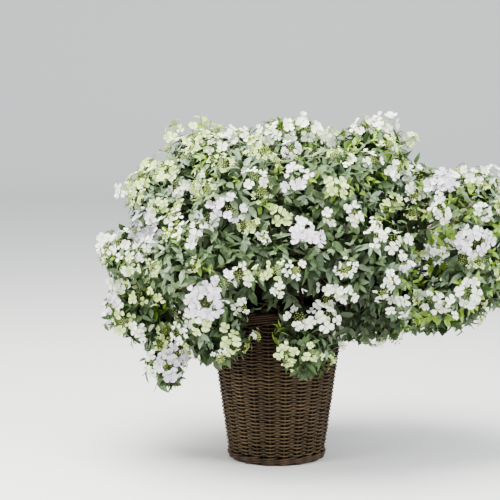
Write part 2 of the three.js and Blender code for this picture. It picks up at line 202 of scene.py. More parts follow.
def ring_triangles(rings: int, sides: int, closed: bool) -> Array:
    """The triangles between rings of points that follow each other.

    Args:
        rings: How many rings there are.
        sides: How many points each has.
        closed: Whether the last ring joins the first.

    Returns:
        Three point numbers a row.
    """
    ring, side = np.meshgrid(np.arange(rings if closed else rings - 1), np.arange(sides), indexing="ij")
    following, beside = (ring + 1) % rings, (side + 1) % sides
    a, b = ring * sides + side, ring * sides + beside
    c, d = following * sides + beside, following * sides + side
    return np.concatenate([np.stack(corners, -1).reshape(-1, 3) for corners in ((a, b, c), (a, c, d))])


def tube(path: Array, radii: Array, sides: int, closed: bool = False,
         outward: Array | None = None) -> Patch:
    """A round rod along a path.

    Args:
        path: The points that it follows.
        radii: Its radius at each point, or a pair of radii, outward and across.
        sides: How many sides its section has.
        closed: Whether its end meets its start. An open rod gets a point at each end.
        outward: A direction square to the path at each point, or None to carry one along.

    Returns:
        Its vertices, triangles and texture places: metres along it, and turns round it.
    """
    steps = len(path)
    if closed:
        along = unit(np.roll(path, -1, axis=0) - np.roll(path, 1, axis=0))
    else:
        along = unit(np.gradient(path, axis=0))
    if outward is None:
        normal = square_to(along[0])[0]
        normals = []
        for direction in along:
            normal = unit(normal - direction * np.dot(normal, direction))
            normals.append(normal)
        outward = np.array(normals)
    across = np.cross(along, outward)
    radii = np.asarray(radii, float)
    out_radii, cross_radii = (radii[:, 0], radii[:, 1]) if radii.ndim == 2 else (radii, radii)
    angles = np.linspace(0, 2 * math.pi, sides, endpoint=False)
    ring = (outward[:, None, :] * (np.cos(angles)[None, :, None] * out_radii[:, None, None])
            + across[:, None, :] * (np.sin(angles)[None, :, None] * cross_radii[:, None, None]))
    vertices = (path[:, None, :] + ring).reshape(-1, 3)
    triangles = ring_triangles(steps, sides, closed)
    travelled = np.concatenate([[0], np.cumsum(np.linalg.norm(np.diff(path, axis=0), axis=1))])
    places = np.stack([np.repeat(travelled, sides), np.tile(np.arange(sides) / sides, steps)], axis=1)
    if not closed:
        first, last = len(vertices), len(vertices) + 1
        vertices = np.vstack([vertices, path[:1], path[-1:]])
        places = np.vstack([places, [[travelled[0], 0.5]], [[travelled[-1], 0.5]]])
        around = np.arange(sides)
        beside = (around + 1) % sides
        end = (steps - 1) * sides
        triangles = np.concatenate([
            triangles,
            np.stack([np.full(sides, first), beside, around], -1),
            np.stack([np.full(sides, last), end + around, end + beside], -1),
        ])
    return vertices, triangles, places


def turned_surface(profile: Sequence[Pair], sides: int) -> Patch:
    """A surface turned about the Z axis from radius and height pairs.

    Args:
        profile: The radius and height of each ring, in order.
        sides: How many sides it has round the axis.

    Returns:
        Its vertices, triangles and texture places.
    """
    angles = np.linspace(0, 2 * math.pi, sides, endpoint=False)
    vertices = np.array([
        [radius * math.cos(angle), radius * math.sin(angle), height]
        for radius, height in profile for angle in angles
    ])
    places = np.array([[side / sides, height] for _, height in profile for side in range(sides)])
    return vertices, ring_triangles(len(profile), sides, False), places


def feed(tree: Tree, socket: Socket, value: object) -> None:
    """Gives an input a link, a colour of three numbers or a plain value.

    Args:
        tree: The nodes that the input belongs to.
        socket: The input.
        value: What it is given.
    """
    if isinstance(value, Socket):
        tree.links.new(value, socket)
    else:
        socket.default_value = (*value, 1.0) if socket.type == "RGBA" else value


class EffectMaker:
    """A shader node group in the making, with a short call for each kind of node in it."""

    def __init__(self, name: str, inputs: dict[str, float | Colour], outputs: Sequence[str]) -> None:
        """Starts a group with named sockets.

        Args:
            name: The group's name.
            inputs: The inputs' names and values. One of three numbers is a colour.
            outputs: The outputs' names. Colour is a colour, and any other is a number.
        """
        self.group = bpy.data.node_groups.new(name, "ShaderNodeTree")
        interface = self.group.interface
        for label, value in inputs.items():
            kind = "NodeSocketColor" if isinstance(value, tuple) else "NodeSocketFloat"
            socket = interface.new_socket(label, in_out="INPUT", socket_type=kind)
            socket.default_value = (*value, 1.0) if isinstance(value, tuple) else value
        for label in outputs:
            kind = "NodeSocketColor" if label == "Colour" else "NodeSocketFloat"
            interface.new_socket(label, in_out="OUTPUT", socket_type=kind)
        self.source = self.group.nodes.new("NodeGroupInput")
        self.target = self.group.nodes.new("NodeGroupOutput")

    def node(self, kind: str, inputs: dict[str | int, object], **settings: object) -> bpy.types.Node:
        """A new node.

        Args:
            kind: Its type.
            inputs: Values, sockets or names of the group's own inputs, for each of its inputs.
            **settings: Its settings.

        Returns:
            The node.
        """
        node = self.group.nodes.new(kind)
        for name, value in settings.items():
            setattr(node, name, value)
        for label, value in inputs.items():
            value = self.source.outputs[value] if isinstance(value, str) else value
            feed(self.group, node.inputs[label], value)
        return node

    def where(self, system: str) -> Socket:
        """The place on the surface, by the Object or UV system."""
        return self.node("ShaderNodeTexCoord", {}).outputs[system]

    def axes(self, system: str) -> tuple[Socket, ...]:
        """The place on the surface along each of three axes."""
        return tuple(self.node("ShaderNodeSeparateXYZ", {0: self.where(system)}).outputs)

    def step(self, operation: str, *values: object, clamp: bool = False) -> Socket:
        """One sum on values or sockets, kept between 0 and 1 if asked."""
        inputs = dict(enumerate(values))
        return self.node("ShaderNodeMath", inputs, operation=operation, use_clamp=clamp).outputs[0]

    def noise(self, where: Socket, scale: object, detail: float, roughness: float = 0.5) -> Socket:
        """Soft noise from 0 to 1, with a scale, a number of finer layers and their strength."""
        inputs = {"Vector": where, "Scale": scale, "Detail": detail, "Roughness": roughness}
        return self.node("ShaderNodeTexNoise", inputs).outputs["Fac"]

    def widened(self, value: Socket, low: float, high: float) -> Socket:
        """A value's range from low to high, widened to 0 to 1."""
        inputs = {"Value": value, "From Min": low, "From Max": high}
        return self.node("ShaderNodeMapRange", inputs).outputs["Result"]

    def blend(self, share: Socket, first: object, second: object, kind: str = "MIX") -> Socket:
        """A blend of two colours, by the share of the second."""
        inputs = {0: share, 6: first, 7: second}
        return self.node("ShaderNodeMix", inputs, data_type="RGBA", blend_type=kind).outputs[2]

    def give(self, **outputs: Socket) -> Tree:
        """The finished group, with its own outputs linked."""
        for label, value in outputs.items():
            feed(self.group, self.target.inputs[label], value)
        return self.group


class EffectGroups:
    """The shader node groups that several finishes share, each made once."""

    def __init__(self) -> None:
        """Makes the groups."""
        self.recess = self.make_recess()
        self.throat = self.make_throat()
        self.mottle = self.make_mottle()
        self.fibres = self.make_fibres()
        self.veins = self.make_veins()

    @staticmethod
    def make_recess() -> Tree:
        """Painted shade on rods where they lie deep in a tapered wall, and a redder, darker tone towards its
        top, partly painted shade under the crown.
        """
        inputs = {
            "Base": (0.5, 0.5, 0.5), "Deep": (0.02, 0.01, 0.01), "Upper": (0.3, 0.15, 0.1),
            "Foot Radius": 0.150, "Flare": 0.141, "Depth": 0.010, "Upper Start": 0.26,
        }
        made = EffectMaker("recess", inputs, ("Colour",))
        x, y, z = made.axes("Object")
        squares = made.step("ADD", made.step("MULTIPLY", x, x), made.step("MULTIPLY", y, y))
        wall = made.step("ADD", "Foot Radius", made.step("MULTIPLY", z, "Flare"))
        depth = made.step("SUBTRACT", wall, made.step("SQRT", squares))
        # painted shade: rods go towards the Deep colour the further they lie behind the wall's face
        deep = made.step("DIVIDE", depth, "Depth", clamp=True)
        # towards the top the rods turn redder and darker: partly their own tone, partly painted shade under
        # the crown
        over = made.step("SUBTRACT", z, "Upper Start")
        upper = made.step("MULTIPLY", made.step("MULTIPLY", over, 7.0, clamp=True), 0.6)
        toned = made.blend(upper, "Base", "Upper", "MULTIPLY")
        return made.give(Colour=made.blend(deep, toned, "Deep"))

    @staticmethod
    def make_throat() -> Tree:
        """A second colour at the foot of a petal or blade, from its texture places."""
        inputs = {"Base": (0.9, 0.9, 0.9), "Throat": (0.6, 0.7, 0.3), "Reach": 0.5}
        made = EffectMaker("throat", inputs, ("Colour",))
        along = made.axes("UV")[1]
        share = made.step("SUBTRACT", 1.0, made.step("DIVIDE", along, "Reach"), clamp=True)
        return made.give(Colour=made.blend(share, "Base", "Throat"))

    @staticmethod
    def make_mottle() -> Tree:
        """Soft blotches between two colours, with a finer grain on top."""
        inputs = {"Light": (0.8, 0.8, 0.8), "Dark": (0.2, 0.2, 0.2), "Scale": 20.0, "Balance": 0.5}
        made = EffectMaker("mottle", inputs, ("Colour", "Height"))
        where = made.where("Object")
        broad = made.noise(where, "Scale", 3.0)
        fine = made.noise(where, made.step("MULTIPLY", "Scale", 7.0), 4.0)
        both = made.node("ShaderNodeMix", {0: 0.35, 2: broad, 3: fine}).outputs[0]
        lean = made.step("SUBTRACT", "Balance", 0.5)
        share = made.step("ADD", made.widened(both, 0.35, 0.65), lean, clamp=True)
        return made.give(Colour=made.blend(share, "Dark", "Light"), Height=fine)

    @staticmethod
    def make_fibres() -> Tree:
        """Long streaks that run along a rod, from its texture places."""
        inputs = {
            "Base": (0.5, 0.5, 0.5), "Streak": (0.1, 0.1, 0.1),
            "Length": 12.0, "Strands": 9.0, "Strength": 0.5,
        }
        made = EffectMaker("fibres", inputs, ("Colour", "Height"))
        along, around, _ = made.axes("UV")
        stretched = made.step("MULTIPLY", along, "Length")
        tightened = made.step("MULTIPLY", around, "Strands")
        where = made.node("ShaderNodeCombineXYZ", {"X": stretched, "Y": tightened}).outputs[0]
        streaks = made.noise(where, 1.0, 5.0, 0.65)
        share = made.step("MULTIPLY", made.widened(streaks, 0.4, 0.7), "Strength")
        return made.give(Colour=made.blend(share, "Base", "Streak"), Height=streaks)

    @staticmethod
    def make_veins() -> Tree:
        """A midrib and slanting side veins, from a blade's texture places."""
        inputs = {"Base": (0.2, 0.4, 0.1), "Vein": (0.4, 0.6, 0.3), "Pairs": 8.0, "Strength": 0.4}
        made = EffectMaker("veins", inputs, ("Colour", "Height"))
        across, along, _ = made.axes("UV")
        off_rib = made.step("ABSOLUTE", across)
        swept = made.step("SUBTRACT", along, made.step("MULTIPLY", off_rib, 0.7))
        turns = made.step("MULTIPLY", swept, "Pairs")
        wave = made.step("SINE", made.step("MULTIPLY", turns, 2 * math.pi))
        side_veins = made.step("POWER", made.step("MAXIMUM", wave, 0.0), 9.0)
        midrib = made.step("SUBTRACT", 1.0, made.step("MULTIPLY", off_rib, 14.0), clamp=True)
        lines = made.step("MAXIMUM", midrib, made.step("MULTIPLY", side_veins, 0.7))
        share = made.step("MULTIPLY", lines, "Strength")
        return made.give(Colour=made.blend(share, "Base", "Vein"), Height=lines)


class MaterialMaker:
    """A material in the making: its shader and the shared groups placed in it."""

    def __init__(self, name: str, values: dict[str, object]) -> None:
        """Starts a material.

        Args:
            name: The material's name.
            values: What the shader's own inputs are set to.
        """
        self.material = bpy.data.materials.new(name)
        self.material.use_nodes = True
        self.tree = self.material.node_tree
        self.shader = self.tree.nodes["Principled BSDF"]
        for label, value in values.items():
            feed(self.tree, self.shader.inputs[label], value)

    def place(self, group: Tree, **values: object) -> bpy.types.Node:
        """Places a shared group with its own values.

        Args:
            group: The shared group.
            **values: Values or sockets for its inputs, an underscore standing for a space.

        Returns:
            The group's node.
        """
        node = self.tree.nodes.new("ShaderNodeGroup")
        node.node_tree = group
        for label, value in values.items():
            feed(self.tree, node.inputs[label.replace("_", " ")], value)
        return node

    def finish(self, colour: Socket, height: Socket, strength: float,
               depth: float) -> Material:
        """Links the colour, and feeds the height into the normal through a Bump node.

        Args:
            colour: The colour all over the surface.
            height: The relief, from 0 to 1.
            strength: How strongly the relief shows.
            depth: How deep it is, in metres.

        Returns:
            The finished material.
        """
        bump = self.tree.nodes.new("ShaderNodeBump")
        for label, value in (("Strength", strength), ("Distance", depth), ("Height", height)):
            feed(self.tree, bump.inputs[label], value)
        feed(self.tree, self.shader.inputs["Normal"], bump.outputs["Normal"])
        feed(self.tree, self.shader.inputs["Base Color"], colour)
        return self.material


def light_through(weight: float, radius: Colour, scale: float) -> dict[str, object]:
    """The shader's values for light that shows through a thin leaf or petal."""
    return {"Subsurface Weight": weight, "Subsurface Radius": radius, "Subsurface Scale": scale}


@dataclass(frozen=True)
class Finish:
    """What every finish has: a name and the two colours of its soft blotches."""

    name: str
    light: Colour
    dark: Colour


@dataclass(frozen=True)
class RodFinish(Finish):
    """Weathered willow rods or woody stems: streaks along the rod over soft blotches."""

    streak: Colour
    roughness: float
    blotch_scale: float = 14.0
    strand_length: float = 30.0
    strength: float = 0.6
    # the next four fields paint shade: a colour for rods deep in the wall, where that wall lies, how deep the
    # shade reaches, and a redder, darker top tone that is partly painted shade
    recess_shade: Colour | None = None
    shade_foot_radius: float = 0.150
    shade_depth: float = 0.010
    upper_tone_and_shade: Colour = (0.62, 0.46, 0.44)

    def make(self, groups: EffectGroups) -> Material:
        """Makes the material."""
        maker = MaterialMaker(self.name, {"Roughness": self.roughness, "Specular IOR Level": 0.35})
        mottle = maker.place(groups.mottle, Light=self.light, Dark=self.dark, Scale=self.blotch_scale)
        fibres = maker.place(groups.fibres, Base=mottle.outputs["Colour"], Streak=self.streak,
                             Length=self.strand_length, Strength=self.strength)
        colour = fibres.outputs["Colour"]
        # painted shade deep in the wall, and the top tone that is partly painted shade
        if self.recess_shade:
            recess = maker.place(groups.recess, Base=colour, Deep=self.recess_shade, Upper=self.upper_tone_and_shade,
                                 Foot_Radius=self.shade_foot_radius, Depth=self.shade_depth)
            colour = recess.outputs["Colour"]
        return maker.finish(colour, fibres.outputs["Height"], 0.5, 0.0008)


@dataclass(frozen=True)
class BladeFinish(Finish):
    """A leaf: blotched green with paler veins, a soft sheen and a little light through it."""

    vein: Colour
    roughness: float = 0.48
    blotch_scale: float = 16.0
    glow: float = 0.12

    def make(self, groups: EffectGroups) -> Material:
        """Makes the material."""
        values = {"Roughness": self.roughness, "Specular IOR Level": 0.45}
        maker = MaterialMaker(self.name, values | light_through(self.glow, (0.004, 0.006, 0.002), 0.3))
        mottle = maker.place(groups.mottle, Light=self.light, Dark=self.dark, Scale=self.blotch_scale)
        veins = maker.place(groups.veins, Base=mottle.outputs["Colour"], Vein=self.vein, Pairs=7.0,
                            Strength=0.45)
        return maker.finish(veins.outputs["Colour"], veins.outputs["Height"], 0.35, 0.0006)


@dataclass(frozen=True)
class PetalFinish(Finish):
    """A sepal or bud: pale, softly blotched, with faint veins and light through it."""

    vein: Colour
    balance: float = 0.6
    throat: Colour = (0.62, 0.72, 0.30)
    reach: float = 0.5
    blotch_scale: float = 34.0
    glow: float = 0.25

    def make(self, groups: EffectGroups) -> Material:
        """Makes the material."""
        values = {"Roughness": 0.6, "Specular IOR Level": 0.3}
        maker = MaterialMaker(self.name, values | light_through(self.glow, (0.006, 0.006, 0.005), 0.4))
        mottle = maker.place(groups.mottle, Light=self.light, Dark=self.dark, Scale=self.blotch_scale,
                             Balance=self.balance)
        veins = maker.place(groups.veins, Base=mottle.outputs["Colour"], Vein=self.vein, Pairs=4.0,
                            Strength=0.3)
        throat = maker.place(groups.throat, Base=veins.outputs["Colour"], Throat=self.throat,
                             Reach=self.reach)
        return maker.finish(throat.outputs["Colour"], veins.outputs["Height"], 0.2, 0.0003)


@dataclass(frozen=True)
class EarthFinish(Finish):
    """Crumbly matt matter: potting soil, or the dark lining behind the weave."""

    scale: float
    relief: float

    def make(self, groups: EffectGroups) -> Material:
        """Makes the material."""
        maker = MaterialMaker(self.name, {"Roughness": 0.95, "Specular IOR Level": 0.15})
        mottle = maker.place(groups.mottle, Light=self.light, Dark=self.dark, Scale=self.scale)
        return maker.finish(mottle.outputs["Colour"], mottle.outputs["Height"], 0.8, self.relief)


class LeafTint(Enum):
    """The kinds of green that the leaves are dealt."""

    MID = BladeFinish(
        "leaf_mid_green", (0.134, 0.206, 0.086), (0.069, 0.116, 0.046), (0.24, 0.32, 0.16), 0.42)
    SAGE = BladeFinish(
        "leaf_sage_green", (0.240, 0.318, 0.205), (0.136, 0.200, 0.116), (0.34, 0.41, 0.29), 0.38)
    DEEP = BladeFinish(
        "leaf_deep_green", (0.122, 0.182, 0.076), (0.060, 0.100, 0.040), (0.20, 0.27, 0.14), 0.45)
    # painted shade: a near-black green for leaves in the shaded hollow and the dim centre
    SHADED = BladeFinish(
        "leaf_shaded_green", (0.052, 0.080, 0.033), (0.027, 0.044, 0.018), (0.11, 0.15, 0.08), 0.50)
    LIME = BladeFinish(
        "leaf_young_lime", (0.310, 0.450, 0.080), (0.190, 0.315, 0.048), (0.40, 0.52, 0.20), 0.45)


class PetalTint(Enum):
    """The kinds of floret: open and white, flushed lilac, or young and creamy."""

    # each kind's dark blotch colour is far below its light one: painted shade, so that part of each head
    # reads as shaded
    WHITE = PetalFinish(
        "floret_white", (0.92, 0.94, 0.87), (0.47, 0.52, 0.40), (0.66, 0.70, 0.57),
        0.66, (0.66, 0.74, 0.40), 0.42)
    LILAC = PetalFinish(
        "floret_lilac", (0.88, 0.85, 0.90), (0.47, 0.42, 0.51), (0.60, 0.53, 0.61),
        0.62, (0.66, 0.72, 0.44), 0.34)
    CREAM = PetalFinish(
        "floret_cream", (0.75, 0.84, 0.47), (0.41, 0.53, 0.18), (0.46, 0.57, 0.24),
        0.60, (0.42, 0.57, 0.14), 0.58)


@dataclass(frozen=True)
class FoliageMass:
    """One mass of foliage: its place and half size, the rise of its stem, and how it flowers.

    bloom is the share of its sprays that flower, youth the share that are young and creamy, flush the
    share of its open heads that are lilac, and density how closely its sprays stand.
    """

    name: str
    centre: Place
    spread: Place
    rise: float
    bloom: float
    youth: float
    flush: float
    density: float

    @property
    def middle(self) -> Array:
        """Its centre as an array."""
        return np.array(self.centre)

    @property
    def size(self) -> Array:
        """Its half size as an array."""
        return np.array(self.spread)

    @property
    def heading(self) -> Array:
        """The way its stem runs."""
        azimuth, pitch = math.atan2(self.centre[1], self.centre[0]), math.radians(self.rise)
        flat = math.cos(pitch)
        return np.array([flat * math.cos(azimuth), flat * math.sin(azimuth), math.sin(pitch)])

    @property
    def half_depth(self) -> float:
        """Its half size along its stem."""
        return 1 / float(np.linalg.norm(self.heading / self.size))

    def stem_point(self, share: float) -> Array:
        """A point on the stem's line, as a share of the half depth from the centre."""
        return self.middle + self.heading * self.half_depth * share


# Every mass, in the order of the solids.
MASSES: tuple[FoliageMass, ...] = tuple(FoliageMass(*row) for row in (
    ("left_reach", (-0.395, -0.030, 0.650), (0.160, 0.225, 0.108), -5, 0.75, 0.35, 0.3, 1.0),
    ("left_low", (-0.418, -0.030, 0.470), (0.126, 0.150, 0.105), -45, 0.72, 0.4, 0.3, 1.0),
    ("left_hanging", (-0.338, -0.070, 0.345), (0.076, 0.108, 0.120), -72, 0.8, 0.2, 0.75, 0.8),
    ("left_shoulder", (-0.325, 0.030, 0.785), (0.156, 0.235, 0.146), 35, 0.7, 0.9, 0.05, 1.0),
    ("top_left", (-0.195, 0.000, 0.900), (0.160, 0.225, 0.136), 62, 0.58, 0.9, 0.0, 1.0),
    ("top_middle", (0.040, 0.040, 0.925), (0.148, 0.235, 0.150), 80, 0.26, 0.7, 0.05, 1.0),
    ("top_right", (0.280, 0.000, 0.898), (0.156, 0.235, 0.152), 60, 0.32, 0.7, 0.05, 1.0),
    ("right_shoulder", (0.530, 0.005, 0.762), (0.240, 0.240, 0.148), 25, 0.60, 0.8, 0.1, 1.0),
    ("right_reach", (0.600, -0.010, 0.590), (0.172, 0.225, 0.135), 0, 0.60, 0.8, 0.15, 1.0),
    ("right_low", (0.465, -0.060, 0.505), (0.178, 0.190, 0.112), -22, 0.7, 0.6, 0.15, 1.0),
    ("front_left", (-0.225, -0.265, 0.640), (0.175, 0.170, 0.160), 5, 0.46, 0.6, 0.2, 1.0),
    ("front_middle", (0.010, -0.300, 0.645), (0.170, 0.155, 0.145), 8, 0.26, 0.5, 0.35, 0.9),
    ("front_right", (0.245, -0.270, 0.635), (0.175, 0.165, 0.160), 5, 0.32, 0.5, 0.2, 1.0),
    ("front_upper_left", (-0.100, -0.215, 0.835), (0.165, 0.160, 0.155), 45, 0.40, 0.8, 0.05, 1.0),
    ("front_upper_right", (0.150, -0.220, 0.835), (0.165, 0.160, 0.155), 45, 0.22, 0.6, 0.2, 1.0),
    ("front_left_hanging", (-0.190, -0.270, 0.455), (0.108, 0.105, 0.125), -60, 0.65, 0.5, 0.2, 0.8),
    ("front_right_hanging", (0.085, -0.285, 0.425), (0.102, 0.100, 0.135), -68, 0.5, 0.6, 0.1, 0.6),
    ("front_right_low", (0.285, -0.205, 0.495), (0.145, 0.145, 0.108), -30, 0.6, 0.5, 0.15, 1.0),
    ("back_left", (-0.245, 0.255, 0.690), (0.195, 0.190, 0.195), 15, 0.65, 0.45, 0.15, 1.0),
    ("back_middle", (0.030, 0.315, 0.720), (0.180, 0.170, 0.200), 15, 0.65, 0.4, 0.15, 1.0),
    ("back_right", (0.310, 0.260, 0.690), (0.195, 0.190, 0.195), 15, 0.65, 0.4, 0.15, 1.0),
    ("back_left_hanging", (-0.120, 0.275, 0.460), (0.150, 0.130, 0.130), -55, 0.6, 0.3, 0.2, 0.9),
    ("back_right_hanging", (0.185, 0.275, 0.460), (0.160, 0.130, 0.130), -55, 0.6, 0.3, 0.2, 0.9),
))


@dataclass(frozen=True)
class PlaitedBorder:
    """The sizes of a border of thick rods that slant up over the stakes and tuck in at both ends.

    height and bulge are the border's own. A rod's line starts at first_level over the border's lower
    edge, climbs by climb and lies inset inside the bulge. span is the angle that it runs through, and
    tucks gives for each end how deep it tucks in, and over which share of the rod.
    """

    height: float
    bulge: float
    strands: int
    span: float
    rod_radius: float
    first_level: float
    climb: float
    inset: float
    wave: float
    swell: float
    tucks: tuple[Pair, Pair]
    start_spread: float
    thickness_spread: float
    steps: int
    sides: int

    def tuck(self, share: Array) -> Array:
        """How far in a rod lies at shares of its length."""
        (first_depth, first_share), (last_depth, last_share) = self.tucks
        first = np.clip(1 - share / first_share, 0, 1)
        last = np.clip((share - 1 + last_share) / last_share, 0, 1)
        return first_depth * first**2 + last_depth * last**2


@dataclass
class WovenBasket:
    """The tall tapered basket: upright stakes, woven rods, plaited borders and a dark lining."""

    height: float = 0.490
    base_radius: float = 0.147
    mouth_radius: float = 0.216
    wall_thickness: float = 0.014
    soil_drop: float = 0.035
    relief: float = 0.0032
    stakes: int = 22
    stake_radii: Pair = (0.0030, 0.0019)
    stake_steps: int = 30
    weave_rows: int = 72
    steps_between_stakes: int = 10
    rod_radius: float = 0.0029
    weave_front: float = 0.0054
    weave_back: float = 0.0046
    front_dip: float = 0.0044
    back_rise: float = 0.0090
    swing_sharpness: float = 1.7
    row_wander: Pair = (0.0007, 0.0005)
    row_sag: float = 0.0008
    row_jut: float = 0.0005
    row_swell: float = 0.10
    row_spread: float = 0.08
    foot: PlaitedBorder = PlaitedBorder(
        height=0.029, bulge=0.007, strands=16, span=1.22, rod_radius=0.0036, first_level=0.0040,
        climb=0.0218, inset=0.0054, wave=0.0018, swell=0.0, tucks=((0.008, 0.12), (0.009, 0.10)),
        start_spread=0.03, thickness_spread=0.08, steps=22, sides=8,
    )
    rim: PlaitedBorder = PlaitedBorder(
        height=0.043, bulge=0.008, strands=24, span=1.31, rod_radius=0.0037, first_level=0.0035,
        climb=0.0350, inset=0.0037, wave=0.0011, swell=0.05, tucks=((0.012, 0.10), (0.014, 0.07)),
        start_spread=0.02, thickness_spread=0.07, steps=30, sides=9,
    )
    hoop_places: tuple[Pair, ...] = ((-0.004, -0.0055), (-0.0115, -0.006))
    hoop_radius: float = 0.0053
    floor_rings: int = 20
    random: np.random.RandomState = field(default_factory=lambda: np.random.RandomState(11))

    def wall_radius(self, height: Array | float) -> Array | float:
        """Outer radius of the wall at a height."""
        return self.base_radius + (self.mouth_radius - self.base_radius) * np.asarray(height) / self.height

    def middle_radius(self, height: Array | float) -> Array | float:
        """Radius of the line of the stakes at a height."""
        return self.wall_radius(height) + self.relief - self.weave_front - self.rod_radius

    @staticmethod
    def ring_point(angle: Array, radius: Array, height: Array) -> Array:
        """Points at an angle, radius and height."""
        return np.stack([radius * np.cos(angle), radius * np.sin(angle), height + 0 * angle], axis=-1)

    def add_hoop(self, batch: MeshBatch, angle: Array, radius: Array, height: Array,
                 thickness: Array, sides: int) -> None:
        """Adds a rod that closes on itself round the basket.

        Args:
            batch: What it is added to.
            angle: The angles of its points, all the way round.
            radius: Their distance from the axis.
            height: Their height.
            thickness: Its radius at each, or its radii outward and across.
            sides: How many sides it has.
        """
        outward = self.ring_point(angle, np.array(1.0), np.array(0.0))
        path = self.ring_point(angle, radius, height)
        batch.add(*tube(path, thickness, sides, closed=True, outward=outward))

    def weavers(self) -> MeshBatch:
        """The woven rods: odd rows pass inside the thick stakes and come forward over the slim ones."""
        batch = MeshBatch()
        low, high = self.foot.height, self.height - self.rim.height + 0.002
        angle = np.linspace(0, 2 * math.pi, self.stakes * self.steps_between_stakes, endpoint=False)
        between = (0.5 - 0.5 * np.cos(self.stakes * angle)) ** self.swing_sharpness
        front = self.weave_front - self.front_dip * between
        back = self.back_rise * between - self.weave_back
        pitch = (high - low) / self.weave_rows
        slow, quick = self.row_wander
        for row in range(self.weave_rows):
            height = low + pitch * (row + 0.5)
            phases = self.random.uniform(0, 2 * math.pi, 4)
            level = height + slow * np.sin(3 * angle + phases[0]) + quick * np.sin(7 * angle + phases[1])
            if row % 2 == 0:
                level -= self.row_sag * np.cos(self.stakes * angle)
            thick = 1 + self.row_swell * np.sin(2 * angle + phases[2])
            thick += self.random.uniform(-self.row_spread, self.row_spread)
            jut = self.row_jut * np.sin(5 * angle + phases[3])
            radius = self.middle_radius(height) + (back if row % 2 else front) + jut
            radii = np.stack([self.rod_radius * thick, pitch * 0.50 * thick], axis=1)
            self.add_hoop(batch, angle, radius, level, radii, 6)
        return batch

    def uprights(self) -> MeshBatch:
        """The thick stakes that show between the rods, with a slim one between each two."""
        batch = MeshBatch()
        heights = np.linspace(0.004, self.height - 0.006, self.stake_steps)
        for place in range(2 * self.stakes):
            lean = self.random.uniform(-0.004, 0.004)
            radius = self.middle_radius(heights) + (0.0002 if place % 2 else -0.0008)
            angle = math.pi * place / self.stakes + lean * heights / self.height
            knots = 1 + 0.08 * np.sin(heights * 90 + self.random.uniform(0, 6.28))
            batch.add(*tube(self.ring_point(angle, radius, heights), self.stake_radii[place % 2] * knots, 8))
        return batch

    def border_rods(self, border: PlaitedBorder, bottom: float) -> MeshBatch:
        """The slanting rods of a border.

        Args:
            border: The border's sizes.
            bottom: The height of its lower edge.

        Returns:
            The rods' mesh.
        """
        batch = MeshBatch()
        share = np.linspace(0, 1, border.steps)
        height = bottom + border.first_level + border.climb * share
        line = self.wall_radius(height) + border.bulge - border.inset - border.tuck(share)
        for strand in range(border.strands):
            start = 2 * math.pi * strand / border.strands
            start += self.random.uniform(-border.start_spread, border.start_spread)
            angle = start + border.span * share
            radius = line + border.wave * np.cos(self.stakes * angle)
            thick = 1 + self.random.uniform(-border.thickness_spread, border.thickness_spread)
            thick = border.rod_radius * thick * (1 + border.swell * np.sin(9 * share))
            batch.add(*tube(self.ring_point(angle, radius, height), thick, border.sides))
        return batch

    def rim_border(self) -> MeshBatch:
        """The plait round the mouth, with two rods laid along its inner edge."""
        batch = self.border_rods(self.rim, self.height - self.rim.height)
        angle = np.linspace(0, 2 * math.pi, 160, endpoint=False)
        for rod, (inward, drop) in enumerate(self.hoop_places):
            swing = 0.0016 * np.cos(self.stakes * angle + math.pi * rod)
            level = self.height + drop + 0.0010 * np.sin(self.stakes * angle + rod)
            thickness = np.full(len(angle), self.hoop_radius)
            self.add_hoop(batch, angle, self.mouth_radius + inward + swing, level, thickness, 9)
        return batch

    def lining(self) -> MeshBatch:
        """The lining behind the weave, with the basket's floor, coloured near-black as painted shade seen
        through the gaps.
        """
        batch = MeshBatch()
        inner = self.wall_thickness - 0.0012
        profile = [(0.001, 0.003), (self.base_radius - 0.010, 0.003)]
        for height in np.linspace(0.006, self.height - 0.012, 12):
            profile.append((float(self.wall_radius(height)) - inner, height))
        batch.add(*turned_surface(profile, 80))
        return batch

    def floor_weave(self) -> MeshBatch:
        """The rods woven round the underside."""
        batch = MeshBatch()
        angle = np.linspace(0, 2 * math.pi, 80, endpoint=False)
        for ring in range(self.floor_rings):
            radius = 0.012 + (self.base_radius - 0.016) * ring / (self.floor_rings - 1)
            level = 0.0038 + 0.0009 * np.cos(10 * angle + math.pi * (ring % 2))
            self.add_hoop(batch, angle, radius, level, np.full(len(angle), self.rod_radius), 6)
        return batch

    def dress(self, groups: EffectGroups) -> None:
        """Builds every piece of the basket and gives it its finish."""
        # a near-black brown: painted shade for rods that lie deep in the weave
        recess_shade = (0.012, 0.008, 0.005)
        rods = RodFinish(
            "willow_rods", (0.142, 0.095, 0.048), (0.070, 0.044, 0.021), (0.030, 0.019, 0.010),
            0.58, recess_shade=recess_shade,
        ).make(groups)
        border = RodFinish(
            "border_rods", (0.118, 0.070, 0.038), (0.056, 0.033, 0.018), (0.022, 0.013, 0.008),
            0.6, recess_shade=recess_shade,
            shade_foot_radius=self.base_radius + self.foot.bulge - 0.001, shade_depth=0.0065,
        ).make(groups)
        # the stakes are coloured darker than the weavers: painted shade, as they lie behind the rods
        stakes = RodFinish(
            "stake_rods", (0.080, 0.052, 0.029), (0.040, 0.026, 0.015), (0.018, 0.012, 0.008), 0.62,
        ).make(groups)
        # near-black: painted shade inside the basket, seen through the weave
        lining = EarthFinish(
            "dark_lining", (0.020, 0.014, 0.010), (0.008, 0.006, 0.005), 60.0, 0.0006,
        ).make(groups)
        self.weavers().dress("basket_weave", rods, "wicker", ["basket_body"])
        self.uprights().dress("basket_stakes", stakes, "wicker")
        self.floor_weave().dress("basket_floor_weave", rods, "wicker")
        self.lining().dress("basket_lining", lining, "wicker")
        rim, foot = self.rim_border(), self.border_rods(self.foot, 0.0)
        rim.dress("basket_rim_plait", border, "wicker_border", ["basket_rim_border"])
        foot.dress("basket_foot_plait", border, "wicker_border", ["basket_foot_border"])


